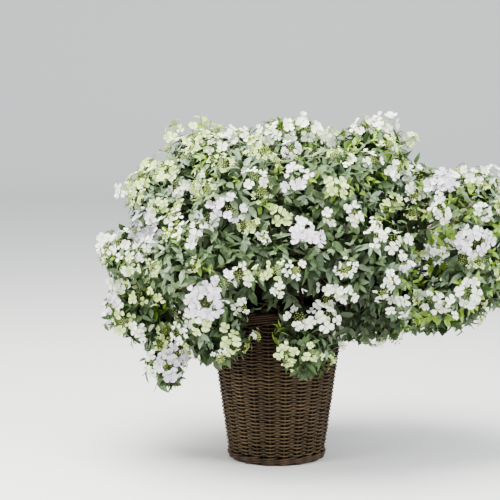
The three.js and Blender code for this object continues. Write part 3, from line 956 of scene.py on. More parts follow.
@dataclass
class SoilBed:
    """The crumbly top of the potting soil inside the basket."""

    basket: WovenBasket
    rings: int = 26
    sides: int = 96
    skirt: float = 0.03
    lumps: tuple[Pair, ...] = ((38, 0.0030), (95, 0.0018), (240, 0.0010))
    settled: float = 0.004
    dish: float = 0.005

    def lumpiness(self, points: Array) -> Array:
        """How far lumps of three sizes raise points of the top."""
        random = np.random.RandomState(5)
        raised = np.zeros(len(points))
        for scale, depth in self.lumps:
            turn = random.uniform(0, 2 * math.pi, 4)
            x, y = points[:, 0] * scale, points[:, 1] * scale
            swell = np.sin(x + turn[0] + np.sin(y * 0.7 + turn[1]))
            raised += depth * swell * np.cos(y + turn[2] + np.sin(x + turn[3]))
        return raised

    def dress(self, groups: EffectGroups) -> None:
        """Builds the soil and gives it its finish."""
        top = self.basket.height - self.basket.soil_drop
        edge = float(self.basket.wall_radius(top)) - self.basket.wall_thickness - 0.001
        profile = [(0.001 + (edge - 0.001) * ring / self.rings, top) for ring in range(self.rings + 1)]
        profile.append((edge, top - self.skirt))
        vertices, triangles, places = turned_surface(profile[::-1], self.sides)
        from_axis = np.hypot(vertices[:, 0], vertices[:, 1])
        shift = self.lumpiness(vertices) - self.settled - self.dish * (from_axis / edge) ** 2
        vertices[:, 2] += np.where(vertices[:, 2] > top - 0.01, shift, 0)
        batch = MeshBatch()
        batch.add(vertices, triangles, places)
        finish = EarthFinish("moist_soil", (0.055, 0.034, 0.020), (0.014, 0.009, 0.006), 120.0, 0.003)
        batch.dress("soil_bed", finish.make(groups), "soil", ["potting_soil"])


@dataclass
class Limbs:
    """The stool and the boughs that spring from it."""

    basket: WovenBasket
    stool_height: float = 0.092
    stool_waist_radius: float = 0.036
    stool_outline: tuple[tuple[float, ...], tuple[float, ...]] = (
        (0.0, 0.16, 0.45, 0.78, 0.93, 1.0),
        (1.45, 1.12, 1.0, 0.82, 0.55, 0.03),
    )
    bough_foot_radius: float = 0.0064
    bough_tip_radius: float = 0.0042
    bough_joints: int = 5
    joint_swell: float = 0.16
    unevenness: float = 0.05
    arch: float = 0.42
    tiers: tuple[tuple[float, float, float, float], ...] = (
        (-90, -30, 0.024, 0.9),
        (-30, 30, 0.048, 0.9),
        (30, 90, 0.064, 1.05),
    )
    stem_foot_share: float = -0.78

    def soil_top(self) -> float:
        """Height of the soil."""
        return self.basket.height - self.basket.soil_drop

    def bough_paths(self, steps: int = 28) -> dict[str, Array]:
        """The line of every bough, from the stool's axis to its mass's stem.

        Args:
            steps: How many points each line has.

        Returns:
            Each mass's name with its bough's points.
        """
        paths = {}
        for above, below, height, steepness in self.tiers:
            tier = [mass for mass in MASSES if above < mass.rise <= below]
            tier.sort(key=lambda mass: math.atan2(mass.centre[1], mass.centre[0]))
            turn = 2 * math.pi / len(tier)
            azimuths = [math.atan2(mass.centre[1], mass.centre[0]) for mass in tier]
            drift = sum(azimuth - turn * place for place, azimuth in enumerate(azimuths)) / len(tier)
            for place, mass in enumerate(tier):
                angle = drift + turn * place
                root = np.array([0, 0, self.soil_top() + height])
                outward = unit(np.array([math.cos(angle), math.sin(angle), steepness]))
                tip = mass.stem_point(self.stem_foot_share)
                bend = self.arch * np.linalg.norm(tip - root)
                handles = [root, root + outward * bend, tip - mass.heading * bend, tip]
                share = np.linspace(0, 1, steps)[:, None]
                rest = 1 - share
                weights = [rest**3, 3 * share * rest**2, 3 * share**2 * rest, share**3]
                paths[mass.name] = sum(weight * handle for weight, handle in zip(weights, handles))
        return paths

    def bough_mesh(self, path: Array, seed: int) -> MeshBatch:
        """A bough with swollen joints along it and a slightly uneven skin.

        Args:
            path: The line that it follows.
            seed: What its unevenness is drawn from.

        Returns:
            The bough's mesh.
        """
        random = np.random.RandomState(seed)
        share = np.linspace(0, 1, len(path))
        taper = self.bough_foot_radius + (self.bough_tip_radius - self.bough_foot_radius) * share
        phase = 2 * math.pi * (share * self.bough_joints + random.uniform())
        joints = 1 + self.joint_swell * np.maximum(np.cos(phase), 0) ** 8
        batch = MeshBatch()
        vertices, triangles, places = tube(path, taper * joints * 0.98, 12)
        centre = np.repeat(path, 12, axis=0)
        ripple = 1 + self.unevenness * random.standard_normal(len(centre))
        vertices[: len(centre)] = centre + (vertices[: len(centre)] - centre) * ripple[:, None]
        batch.add(vertices, triangles, places)
        return batch

    def stool_mesh(self) -> MeshBatch:
        """The stool, fluted where the boughs rise from it."""
        foot = self.soil_top() + 0.0003
        heights = np.linspace(0, 1, 18)
        widths = np.interp(heights, *self.stool_outline)
        profile = [(self.stool_waist_radius * width, foot + self.stool_height * height)
                   for width, height in zip(widths, heights)]
        vertices, triangles, places = turned_surface(profile, 60)
        angle = np.arctan2(vertices[:, 1], vertices[:, 0])
        level = (vertices[:, 2] - foot) / self.stool_height
        flutes = 1 + 0.05 * np.cos(9 * angle + 3 * level) + 0.03 * np.cos(17 * angle - 5 * level)
        vertices[:, :2] *= flutes[:, None]
        batch = MeshBatch()
        batch.add(vertices, triangles, places * np.array([0.24, 1.0]))
        return batch

    def dress(self, groups: EffectGroups) -> None:
        """Builds the stool and the boughs and gives them bark."""
        old_bark = RodFinish(
            "old_bark", (0.150, 0.095, 0.060), (0.062, 0.038, 0.026), (0.030, 0.018, 0.012),
            0.85, 45.0, 60.0, 0.75)
        young_bark = RodFinish(
            "reddish_bark", (0.170, 0.080, 0.048), (0.080, 0.036, 0.024), (0.045, 0.020, 0.014),
            0.7, 30.0, 45.0, 0.6)
        self.stool_mesh().dress("stool_bark", old_bark.make(groups), "bark", ["stool"])
        bark = young_bark.make(groups)
        for seed, (name, path) in enumerate(self.bough_paths().items()):
            self.bough_mesh(path, 300 + seed).dress(f"bough_bark_{name}", bark, "bark", [f"bough_{name}"])


# The large heads that show from the front, by colour: how far across and up each is seen on the
# upright plane through the middle of the basket, in millimetres, and its size in hundredths of the usual.
SHOWY_HEADS: dict[PetalTint, tuple[tuple[int, int, int], ...]] = {
    PetalTint.WHITE: (
        (25, 1024, 75), (78, 1026, 86), (121, 1012, 65), (-28, 1015, 60), (156, 997, 50), (280, 1038, 78),
        (339, 1038, 82), (293, 937, 55), (227, 931, 42), (-72, 884, 60), (159, 753, 45), (240, 762, 60),
        (317, 693, 65), (370, 678, 80), (59, 589, 50), (6, 532, 36), (165, 510, 75), (215, 520, 65),
        (433, 872, 95), (610, 888, 70), (660, 891, 70), (514, 775, 80), (635, 778, 60), (380, 482, 80),
        (482, 501, 60), (535, 488, 80), (601, 513, 95), (-535, 662, 70), (-495, 678, 70), (-327, 747, 70),
        (-457, 618, 70), (-495, 542, 75), (-470, 841, 60), (-121, 577, 65), (-429, 405, 60),
        (-296, 399, 65), (-106, 485, 55), (-53, 443, 50), (152, 440, 88), (72, 437, 75), (-193, 984, 65),
        (-131, 1009, 70), (-380, 287, 70), (510, 643, 50), (361, 564, 50),
    ),
    PetalTint.LILAC: (
        (44, 965, 60), (56, 875, 95), (87, 693, 105), (517, 856, 110), (616, 687, 110), (-408, 728, 110),
        (-408, 665, 75), (-199, 756, 75), (-140, 781, 75), (-230, 497, 115), (-174, 548, 85),
        (-339, 284, 110), (-513, 472, 80), (-314, 332, 60), (395, 605, 50),
    ),
    PetalTint.CREAM: (
        (-72, 990, 60), (342, 981, 55), (12, 759, 65), (190, 853, 60), (-59, 586, 55), (0, 592, 55),
        (-401, 872, 80), (-349, 891, 80), (-236, 437, 75), (-146, 373, 80), (31, 338, 60), (118, 329, 50),
        (-314, 1024, 75), (-255, 1000, 80), (417, 1000, 50), (-395, 919, 60), (-364, 797, 60),
        (-436, 630, 85), (-436, 504, 70), (-482, 428, 60), (-373, 507, 55), (448, 633, 50),
        (367, 803, 60), (330, 787, 50),
    ),
}


# On the same plane, in metres: where the foot and the tip of each bare stem show, and young shoots end.
BARE_STEMS: tuple[tuple[Pair, Pair], ...] = (
    ((0.411, 0.731), (0.482, 0.816)),
    ((0.535, 0.728), (0.619, 0.816)),
)
LEAFY_SHOOTS: tuple[Pair, ...] = (
    (-0.240, 1.078), (-0.205, 1.062), (-0.270, 1.050), (0.404, 0.935), (-0.050, 1.045),
)


@dataclass
class CrownSpace:
    """Where foliage may grow: the masses' shared surface, the basket's wall and points on the limbs.

    blend is how sharply the masses meet. hollow and notch are the corners of the shaded hollow over the
    rim and of the gap in the left edge.
    """

    basket: WovenBasket
    limb_points: Array
    blend: float = 10.0
    hollow: tuple[Place, Place] = ((-0.075, -0.500, 0.470), (0.155, -0.120, 0.605))
    notch: tuple[Place, Place] = ((-0.600, -0.300, 0.690), (-0.468, 0.300, 0.800))
    centres: Array = field(default_factory=lambda: np.array([mass.centre for mass in MASSES]))
    sizes: Array = field(default_factory=lambda: np.array([mass.spread for mass in MASSES]))

    def reaches(self, points: Array) -> Array:
        """How far out points lie in every mass, from 0 at its centre to 1 at its edge."""
        return np.linalg.norm((points[..., None, :] - self.centres) / self.sizes, axis=-1)

    def blended_reach(self, points: Array) -> Array:
        """The least reach of points, rounded off where masses meet so that no deep crease is left."""
        reaches = self.reaches(points)
        least = reaches.min(axis=-1)
        share = np.exp(-self.blend * (reaches - least[..., None])).sum(axis=-1)
        return least - np.log(share) / self.blend

    def outward(self, points: Array) -> Array:
        """The way out of the crown at points."""
        reaches = self.reaches(points)
        weights = np.exp(-self.blend * (reaches - reaches.min(axis=-1, keepdims=True)))
        slopes = (points[..., None, :] - self.centres) / self.sizes**2 / np.maximum(reaches, 1e-6)[..., None]
        return unit((weights[..., None] * slopes).sum(axis=-2))

    def surface_points(self, index: int, directions: Array) -> Array:
        """Where rays from a mass's centre leave the crown, for those that leave it through that mass.

        Args:
            index: The mass's place in the list.
            directions: The rays' directions, before they are stretched to the mass's size.

        Returns:
            The points found, one row each.
        """
        rays = directions * self.sizes[index]
        near, far = np.full(len(rays), 0.3), np.full(len(rays), 1.35)
        outside = self.blended_reach(self.centres[index] + rays * far[:, None]) > 1
        for _ in range(18):
            middle = (near + far) / 2
            within = self.blended_reach(self.centres[index] + rays * middle[:, None]) < 1
            near, far = np.where(within, middle, near), np.where(within, far, middle)
        points = self.centres[index] + rays * near[:, None]
        own = self.reaches(points).argmin(axis=-1) == index
        return points[outside & own]

    @staticmethod
    def unevenness(point: Array) -> float:
        """Swells and hollows of the crown's surface, from -1 to 1, about a hand's breadth across."""
        x, y, z = point * 34
        swell = math.sin(x + 1.3 * math.sin(z * 0.7)) * math.cos(y * 0.9 + 0.8)
        return 0.55 * swell + 0.45 * math.sin(z + 0.6 * x)

    @staticmethod
    def inside(point: Array, corners: tuple[tuple[float, ...], tuple[float, ...]]) -> bool:
        """Whether a point lies between two corners of an upright block."""
        low, high = (np.array(corner) for corner in corners)
        return bool(((point > low) & (point < high)).all())

    def in_hollow(self, point: Array) -> bool:
        """Whether a point lies in the shaded hollow over the front of the basket's rim."""
        return self.inside(point, self.hollow)

    def on_own_side(self, index: int, points: Array) -> Array:
        """Whether points lie nearer to a mass's centre than to any other."""
        distances = np.linalg.norm(points[..., None, :] - self.centres, axis=-1)
        return distances[..., index] <= distances.min(axis=-1) + 1e-9

    def clears_basket(self, points: Array, gap: float = 0.004) -> Array:
        """Whether points are over the basket's mouth or outside its wall."""
        from_axis = np.hypot(points[..., 0], points[..., 1])
        outside = from_axis > self.basket.wall_radius(points[..., 2]) + self.basket.rim.bulge + gap
        return outside | (points[..., 2] > self.basket.height + gap)

    @staticmethod
    def within_box(points: Array, spare: float) -> Array:
        """Whether points lie inside the solids' box with some to spare."""
        low, high = (np.array(corner) for corner in cad_box)
        return ((points > low - spare) & (points < high + spare)).all(axis=-1)

    def clears_limbs(self, points: Array, gap: float) -> bool:
        """Whether points keep a distance from every bough."""
        offsets = points[:, None, :] - self.limb_points[None]
        return bool((np.linalg.norm(offsets, axis=-1) > gap).all())


@dataclass
class Twig:
    """One length of twig: where it starts and ends, the way it leaves, and its thickness."""

    start: Array
    end: Array
    lead: Array
    foot_radius: float
    tip_radius: float

    def points(self, steps: int) -> Array:
        """Points along its gentle curve."""
        share = np.linspace(0, 1, steps)[:, None]
        knee = self.start + self.lead * 0.5 * np.linalg.norm(self.end - self.start)
        return (1 - share) ** 2 * self.start + 2 * share * (1 - share) * knee + share**2 * self.end

    def heading(self) -> Array:
        """The way it runs at its end."""
        points = self.points(8)
        return unit(points[-1] - points[-2])


@dataclass
class Spray:
    """A fine twig that ends at the crown's surface: its mass, its line and the way out at its end."""

    mass: FoliageMass
    twig: Twig
    normal: Array

    @property
    def end(self) -> Array:
        """Where it ends."""
        return self.twig.end


@dataclass
class Head:
    """A flower head: where and how it stands, its size as a share of the usual, and its kind.

    A young head has small florets. A showy one is a full dome that stands out.
    """

    foot: Array
    axis: Array
    scale: float
    tint: PetalTint
    young: bool = False
    showy: bool = False


@dataclass(frozen=True)
class LeafBlade:
    """The outline of a leaf: ovate, toothed, folded along its midrib and drawn to a point."""

    length: float = 0.054
    width: float = 0.0245
    stations: tuple[float, ...] = (0.0, 0.10, 0.26, 0.44, 0.62, 0.80, 1.0)

    def template(self) -> Patch:
        """Its points as shares: along, across and fold, with triangles and texture places."""
        along = np.array(self.stations)
        half = np.sin(math.pi * along**0.8) ** 0.8
        half[0] = half[-1] = 0.0
        rib = np.stack([along, 0 * along, 0 * along], axis=1)
        inner = slice(1, -1)
        teeth = 0.05 * (-1.0) ** np.arange(len(along))
        side = half * (1 + teeth)
        left = np.stack([along - 0.03, side, np.abs(side)], axis=1)[inner]
        right = np.stack([along - 0.03, -side, np.abs(side)], axis=1)[inner]
        points = np.vstack([rib, left, right])
        count = len(along)
        triangles = []
        for hand, first in ((1, count), (-1, count + count - 2)):
            triangles.append((0, 1, first)[::hand])
            for station in range(1, count - 2):
                edge = first + station - 1
                triangles.append((station, station + 1, edge + 1)[::hand])
                triangles.append((station, edge + 1, edge)[::hand])
            triangles.append((count - 2, count - 1, first + count - 3)[::hand])
        places = np.stack([points[:, 1], points[:, 0]], axis=1)
        return points, np.array(triangles), places


@dataclass(frozen=True)
class Sepal:
    """One broad sepal of a floret, cupped, with a shallow notch at its tip."""

    outline: tuple[Pair, ...] = (
        (0.02, 0.0), (0.22, 0.20), (0.58, 0.46), (0.88, 0.42), (1.02, 0.17),
        (0.95, -0.04), (1.0, -0.22), (0.84, -0.45), (0.54, -0.45), (0.20, -0.18),
    )
    young_outline: tuple[Pair, ...] = (
        (0.02, 0.0), (0.45, 0.42), (0.92, 0.30), (0.97, -0.18), (0.55, -0.44),
    )
    middle: Pair = (0.55, 0.0)
    cupping: float = 0.42

    def template(self, fine: bool) -> Patch:
        """Its points as shares: along, across and cup, with triangles and texture places.

        Args:
            fine: Whether it has the full outline or the short one of a young floret.

        Returns:
            Points, triangles and texture places.
        """
        outline = np.array(self.outline if fine else self.young_outline)
        flat = np.vstack([outline, self.middle])
        cup = np.append(self.cupping * np.hypot(outline[:, 0] - 0.5, outline[:, 1]) ** 2, -0.06)
        points = np.column_stack([flat, cup])
        count = len(outline)
        triangles = np.array([((place + 1) % count, place, count) for place in range(count)])
        places = np.stack([flat[:, 1], flat[:, 0]], axis=1)
        return points, triangles, places


class Light(Enum):
    """The light that a spray gets, by where it stands in the crown, which its leaves' greens paint in: darker
    in the hollow and the dim centre, paler on the sunny side.
    """

    HOLLOW = "hollow"
    DIM = "dim"
    SUNNY = "sunny"
    EVEN = "even"


@dataclass
class Crown:
    """Every mass of foliage: stems, twigs and finer sprays with their leaves and lacecap heads."""

    basket: WovenBasket
    limbs: Limbs
    twigs_in_mass: int = 11
    twig_reach: Pair = (0.68, 0.80)
    twig_lengths: tuple[float, ...] = (1.0, 0.85, 0.7)
    twig_slant: float = 0.3
    joint_span: Pair = (0.2, 0.97)
    stem_span: Pair = (-0.78, 0.4)
    stem_radii: Pair = (0.0042, 0.0026)
    twig_radii: Pair = (0.0026, 0.0017)
    spray_radii: Pair = (0.0015, 0.0010)
    bare_radii: Pair = (0.0016, 0.0011)
    ray_radii: Pair = (0.0008, 0.0005)
    limb_gap: float = 0.0133
    inner_limit: float = -0.35
    rays_in_mass: int = 900
    spray_spacing: float = 0.0342
    spray_length: float = 0.105
    underside_loss: Pair = (0.15, 0.45)
    surface_ripple: float = 0.014
    spray_depths: Pair = (-0.024, -0.004)
    stray_share: float = 0.13
    stray_heights: Pair = (0.004, 0.024)
    leaf_steps: tuple[float, ...] = (0.016, 0.040, 0.068, 0.098)
    leaf_sizes: tuple[float, ...] = (0.70, 0.95, 1.05, 1.05)
    tuft_sizes: tuple[float, ...] = (0.52, 0.34)
    inner_leaf_sizes: Pair = (0.9, 1.25)
    shoot_leaf_size: float = 0.75
    floret_radius: float = 0.0216
    young_floret_radius: float = 0.0155
    head_radius: float = 0.047
    head_rise: float = 0.014
    full_share: float = 0.35
    showy_florets: float = 7.6
    large_head_florets: float = 13.0
    small_showy_spread: float = 1.16
    bud_dome_radius: float = 0.026
    bud_dome_height: float = 0.010
    open_spacing: float = 0.062
    showy_spacing: float = 0.086
    young_spacing: float = 0.040
    usual_limit: float = 1.05
    front_youth: float = 0.72
    cream_share: float = 0.90
    central_cream_share: float = 0.35
    centre_from: float = -0.20
    # where paler greens are painted in as light (the sunny side, from sunny_from) and darker ones as shade
    # (the dim centre, from dim_from, deepened by front_tone)
    sunny_from: float = 0.36
    dim_from: float = -0.27
    top_from: float = -0.08
    bright_above: float = 0.86
    front_tone: float = 0.28
    top_tone: float = 0.38
    shoot_above: float = 0.70
    dim_shoot_above: float = 0.96
    flowering: float = 0.50
    hollow_loss: float = 0.60
    sight: Pair = (4.4, 6.0)

    def __post_init__(self) -> None:
        """Makes the crown's space, its random draws and an empty list for each kind of piece."""
        paths = self.limbs.bough_paths()
        self.space = CrownSpace(self.basket, np.concatenate(list(paths.values())))
        self.random = np.random.RandomState(2024)
        self.draw = self.random.uniform
        self.twigs: list[Twig] = []
        self.rays: list[Twig] = []
        self.leaves: dict[LeafTint, list[tuple]] = {tint: [] for tint in LeafTint}
        self.sepals: dict[PetalTint, list[tuple]] = {tint: [] for tint in PetalTint}
        self.small_sepals: dict[PetalTint, list[tuple]] = {tint: [] for tint in PetalTint}
        self.buds: list[tuple] = []
        self.sprays: list[Spray] = []
        self.head_places = np.zeros((0, 3))
        self.head_spacings = np.zeros(0)

    def main_twigs(self, index: int) -> list[Twig]:
        """The main twigs of a mass, by the solids' own rule and seed.

        Args:
            index: The mass's place in the list.

        Returns:
            Those that keep to their own side and clear of the basket and the boughs.
        """
        mass = MASSES[index]
        stream = SeededStream(101 + 37 * index)
        foot, tip = (mass.stem_point(share) for share in self.stem_span)
        stem_length = float(np.linalg.norm(tip - foot))
        outward = unit(mass.middle - np.array([0, 0, self.limbs.soil_top()]))
        made = []
        for direction in spread_directions(self.twigs_in_mass, stream.draw() * math.pi):
            low, high = self.twig_reach
            reach = low + (high - low) * stream.draw()
            stream.draw()
            if np.dot(direction, outward) < self.inner_limit:
                continue
            for length in self.twig_lengths:
                target = direction * mass.size * reach * length + mass.middle
                forward = np.dot(target - foot, mass.heading) - mass.half_depth * self.twig_slant
                joint = foot + (tip - foot) * np.clip(forward / stem_length, *self.joint_span)
                line = joint + (target - joint) * np.linspace(0, 1, 7)[:, None]
                keeps = self.space.on_own_side(index, line) & self.space.clears_basket(line, 0.006)
                if keeps.all() and self.space.clears_limbs(line, self.limb_gap):
                    made.append(Twig(joint, target, unit(target - joint), *self.twig_radii))
                    break
        return made

    def spray_tips(self, index: int) -> Array:
        """Points spread evenly over the part of the crown's surface that a mass makes.

        Args:
            index: The mass's place in the list.

        Returns:
            The points, one row each.
        """
        directions = spread_directions(self.rays_in_mass, self.draw(0, math.pi))
        points = self.space.surface_points(index, directions)
        points = points[self.space.clears_basket(points, 0.012)]
        spacing = self.spray_spacing / math.sqrt(MASSES[index].density)
        kept = np.zeros((0, 3))
        for point in self.random.permutation(points):
            if len(kept) == 0 or np.linalg.norm(kept - point, axis=1).min() > spacing:
                kept = np.vstack([kept, point])
        return kept

    def grow_mass(self, index: int) -> None:
        """Grows a mass: its stem, its main twigs, and sprays from those to the surface.

        Args:
            index: The mass's place in the list.
        """
        mass = MASSES[index]
        foot, tip = (mass.stem_point(share) for share in self.stem_span)
        woody = [Twig(foot, tip, mass.heading, *self.stem_radii), *self.main_twigs(index)]
        self.twigs += woody
        for twig in woody:
            self.dress_inside(twig)
        joints = np.concatenate([twig.points(10)[3:] for twig in woody])
        leads = np.concatenate([np.repeat(twig.heading()[None], 7, axis=0) for twig in woody])
        for target in self.spray_tips(index):
            normal = self.space.outward(target)
            if not self.has_spray(target, normal):
                continue
            target = self.rippled(target, normal)
            lengths = np.linalg.norm(joints - target, axis=1)
            inward = (joints - target) @ normal / lengths
            choice = int(np.argmin(np.abs(lengths - self.spray_length) + 0.06 * (1 + inward)))
            joint = joints[choice]
            lead = unit(leads[choice] + unit(target - joint) + UP * 0.25)
            spray = Twig(joint, target, lead, *self.spray_radii)
            if self.space.clears_basket(spray.points(13), 0.003).all():
                self.sprays.append(Spray(mass, spray, normal))

    def has_spray(self, target: Array, normal: Array) -> bool:
        """Whether a spray grows to a place: fewer do underneath and in the hollow, and none in the notch.

        Args:
            target: The place on the crown's surface.
            normal: The way out of the crown there.

        Returns:
            Whether it grows.
        """
        usual_loss, underside_loss = self.underside_loss
        if self.draw() < -underside_loss * normal[2] - usual_loss:
            return False
        if self.space.in_hollow(target) and self.draw() < self.hollow_loss:
            return False
        return not self.space.inside(target, self.space.notch)

    def rippled(self, target: Array, normal: Array) -> Array:
        """A spray's end moved off the smooth surface, a few of them standing out of it.

        Args:
            target: The end on the surface.
            normal: The way out of the crown there.

        Returns:
            The end, inside the solids' box.
        """
        level = self.surface_ripple * self.space.unevenness(target) + self.draw(*self.spray_depths)
        if self.draw() < self.stray_share:
            level = self.draw(*self.stray_heights)
        low, high = (np.array(corner) for corner in cad_box)
        return np.clip(target + normal * level, low + 0.003, high - 0.003)

    def dress_inside(self, twig: Twig) -> None:
        """Sets inner leaves along a main twig, which close the view into the crown: deep green in the middle
        as painted shade, a paler green at the sides and top as painted light, and the shaded green in the
        hollow.
        """
        heading = twig.heading()
        turn = self.draw(0, math.pi)
        for step, node in enumerate(twig.points(7)[2:]):
            tint = LeafTint.MID if abs(node[0]) > 0.28 or node[2] > self.bright_above else LeafTint.DEEP
            if self.space.in_hollow(node):
                tint = LeafTint.SHADED
            size = self.draw(*self.inner_leaf_sizes)
            self.add_leaf_pair(node, heading, turn + step * math.pi / 2, UP, size, tint, 0.4)

    def bend_spray_to(self, across: float, up: float, taken: Collection[int]) -> int:
        """Bends the nearest free spray to the point of the crown's skin that is seen at a place.

        Args:
            across: Where the line of sight crosses the plane y = 0, along x.
            up: The height there.
            taken: The numbers of sprays that are spoken for.

        Returns:
            The spray's number.
        """
        target = self.seen_point(across, up, 0.98)
        miss = np.array([float(np.linalg.norm(spray.end - target)) for spray in self.sprays])
        miss[list(taken)] = np.inf
        pick = int(np.argmin(miss))
        spray = self.sprays[pick]
        self.sprays[pick] = replace(spray, twig=replace(spray.twig, end=target))
        return pick

    def seen_point(self, across: float, up: float, reach: float) -> Array:
        """The first point of the crown on the line of sight through a place.

        Args:
            across: Where the line of sight crosses the plane y = 0, along x.
            up: The height there.
            reach: How far out in the crown the point lies.

        Returns:
            The point, or the nearest one to the crown where the line of sight misses it.
        """
        eye = np.array(Studio.camera_place)
        aim = unit(np.array([across, 0.0, up]) - eye)
        points = eye + np.linspace(*self.sight, 400)[:, None] * aim
        reaches = self.space.blended_reach(points)
        within = reaches < reach
        return points[int(np.argmax(within) if within.any() else np.argmin(reaches))]

    def add_bare_stems(self) -> None:
        """Long bare stems that cross the crown's face and end among the flowers."""
        for foot_place, tip_place in BARE_STEMS:
            foot, tip = self.seen_point(*foot_place, 0.99), self.seen_point(*tip_place, 1.09)
            lead = unit(unit(tip - foot) + np.array([0.0, -0.5, 0.0]))
            self.twigs.append(Twig(foot, tip, lead, *self.bare_radii))

    def dress_sprays(self) -> None:
        """Dresses the sprays: those with showy heads first, then the others in a mixed order."""
        showy: dict[int, tuple[float, PetalTint]] = {}
        for tint, heads in SHOWY_HEADS.items():
            for across, up, size in heads:
                showy[self.bend_spray_to(across / 1000, up / 1000, showy)] = (size / 100, tint)
        shoots: set[int] = set()
        for across, up in LEAFY_SHOOTS:
            shoots.add(self.bend_spray_to(across, up, shoots | set(showy)))
        mixed = self.random.permutation(len(self.sprays)).tolist()
        for place in [*showy, *(place for place in mixed if place not in showy)]:
            self.grow_spray(self.sprays[place], showy.get(place), place in shoots)
        self.add_bare_stems()

    def light_on(self, spray: Spray) -> Light:
        """The light that a spray's end gets."""
        if self.space.in_hollow(spray.end):
            return Light.HOLLOW
        if spray.end[0] > self.sunny_from and spray.normal[2] > -0.6:
            return Light.SUNNY
        if spray.normal[1] < -0.5 and spray.end[2] < self.bright_above and spray.end[0] > self.dim_from:
            return Light.DIM
        return Light.EVEN

    def grow_spray(self, spray: Spray, showy: tuple[float, PetalTint] | None, leafy: bool) -> None:
        """Dresses a spray with pairs of leaves and ends it in a flower head or a tuft.

        Args:
            spray: The spray.
            showy: The size and colour of the head that it has to carry, if any.
            leafy: Whether it is a young shoot that carries no head.
        """
        self.twigs.append(spray.twig)
        points, heading, normal = spray.twig.points(13), spray.twig.heading(), spray.normal
        from_tip = np.linalg.norm(points - points[-1], axis=1)
        seen = normal[1] < 0.1 and self.draw() < self.front_youth
        young = seen or self.draw() < spray.mass.youth
        limit = max(self.usual_limit, float(self.space.blended_reach(spray.end)) + 0.03)
        turn = self.draw(0, math.pi)
        tone = self.draw()
        light = self.light_on(spray)
        # the top and, as painted shade, the dim centre are pushed towards deeper greens
        if spray.end[0] > self.top_from and spray.end[2] > self.bright_above:
            tone = self.top_tone + (1 - self.top_tone) * tone
        if light is Light.DIM:
            tone = self.front_tone + (1 - self.front_tone) * tone
        if showy:
            flowers = self.carry_showy_head(spray, *showy)
        else:
            flowers = not leafy and light is not Light.HOLLOW and self.try_head(spray, young)
        open_place = normal[2] > -0.2 and light is not Light.HOLLOW
        bright = tone > (self.dim_shoot_above if light is Light.DIM else self.shoot_above)
        shoot = leafy or (not flowers and young and bright and open_place)
        if leafy:
            normal = unit(np.array([0.0, -2.0, 0.4]))
        # painted shade: leaves facing down under the crown get deep greens
        if normal[2] < -0.35:
            tone = max(tone, 0.95)
        for pair, distance in enumerate(self.leaf_steps):
            if distance > from_tip[0] * 0.9:
                break
            node = points[int(np.argmin(np.abs(from_tip - distance - (0.010 if flowers else 0.0))))]
            size = self.leaf_sizes[pair] * self.draw(0.82, 1.12)
            size *= self.shoot_leaf_size if shoot else 1.0
            tint = self.choose_leaf(tone, pair, light, shoot)
            self.add_leaf_pair(node, heading, turn + pair * math.pi / 2, normal, size, tint, limit=limit)
        if not flowers:
            tint = self.choose_leaf(tone, 0, light, shoot)
            for step, size in enumerate(self.tuft_sizes):
                angle = turn + (step + 0.5) * math.pi / 2
                self.add_leaf_pair(spray.end, heading, angle, normal, size, tint, 0.9, limit)

    def carry_showy_head(self, spray: Spray, size: float, tint: PetalTint) -> bool:
        """Makes a showy head, turned a little to the front.

        Args:
            spray: The spray that carries it.
            size: The head's size as a share of the usual.
            tint: Its florets' colour.

        Returns:
            Whether it could be made.
        """
        self.head_places = np.vstack([self.head_places, spray.end])
        self.head_spacings = np.append(self.head_spacings, self.showy_spacing * size)
        to_front = np.array([0.0, -0.75, 0.0])
        axis = unit(spray.normal * 0.8 + spray.twig.heading() * 0.2 + UP * 0.25 + to_front)
        return self.make_head(Head(spray.end, axis, size, tint, showy=True))

    @staticmethod
    def choose_leaf(tone: float, pair: int, light: Light, shoot: bool) -> LeafTint:
        """The green of a spray's leaves, deeper with each pair below the tip, with light and shade painted
        in: the shaded green in the hollow, deeper greens in the dim centre, paler ones on the sunny side.

        Args:
            tone: The spray's own tone, from 0, pale, to 1, deep.
            pair: The number of the pair, from 0 at the tip.
            light: The light that it gets.
            shoot: Whether it is a young shoot.

        Returns:
            The green.
        """
        if light is Light.HOLLOW:
            return LeafTint.SHADED
        if shoot and pair < 2:
            return LeafTint.LIME
        if light is Light.DIM and (pair >= 2 or tone > 0.80):
            return LeafTint.SHADED if tone > 0.62 else LeafTint.DEEP
        if light is Light.SUNNY and (pair >= 2 or tone > 0.72):
            return LeafTint.LIME if tone > 0.84 else LeafTint.MID
        if pair >= 3:
            return LeafTint.DEEP if tone > 0.5 else LeafTint.MID
        if pair == 2:
            return LeafTint.DEEP if tone < 0.3 else LeafTint.MID
        if tone < 0.50:
            return LeafTint.SAGE
        return LeafTint.MID if tone < 0.90 else LeafTint.DEEP

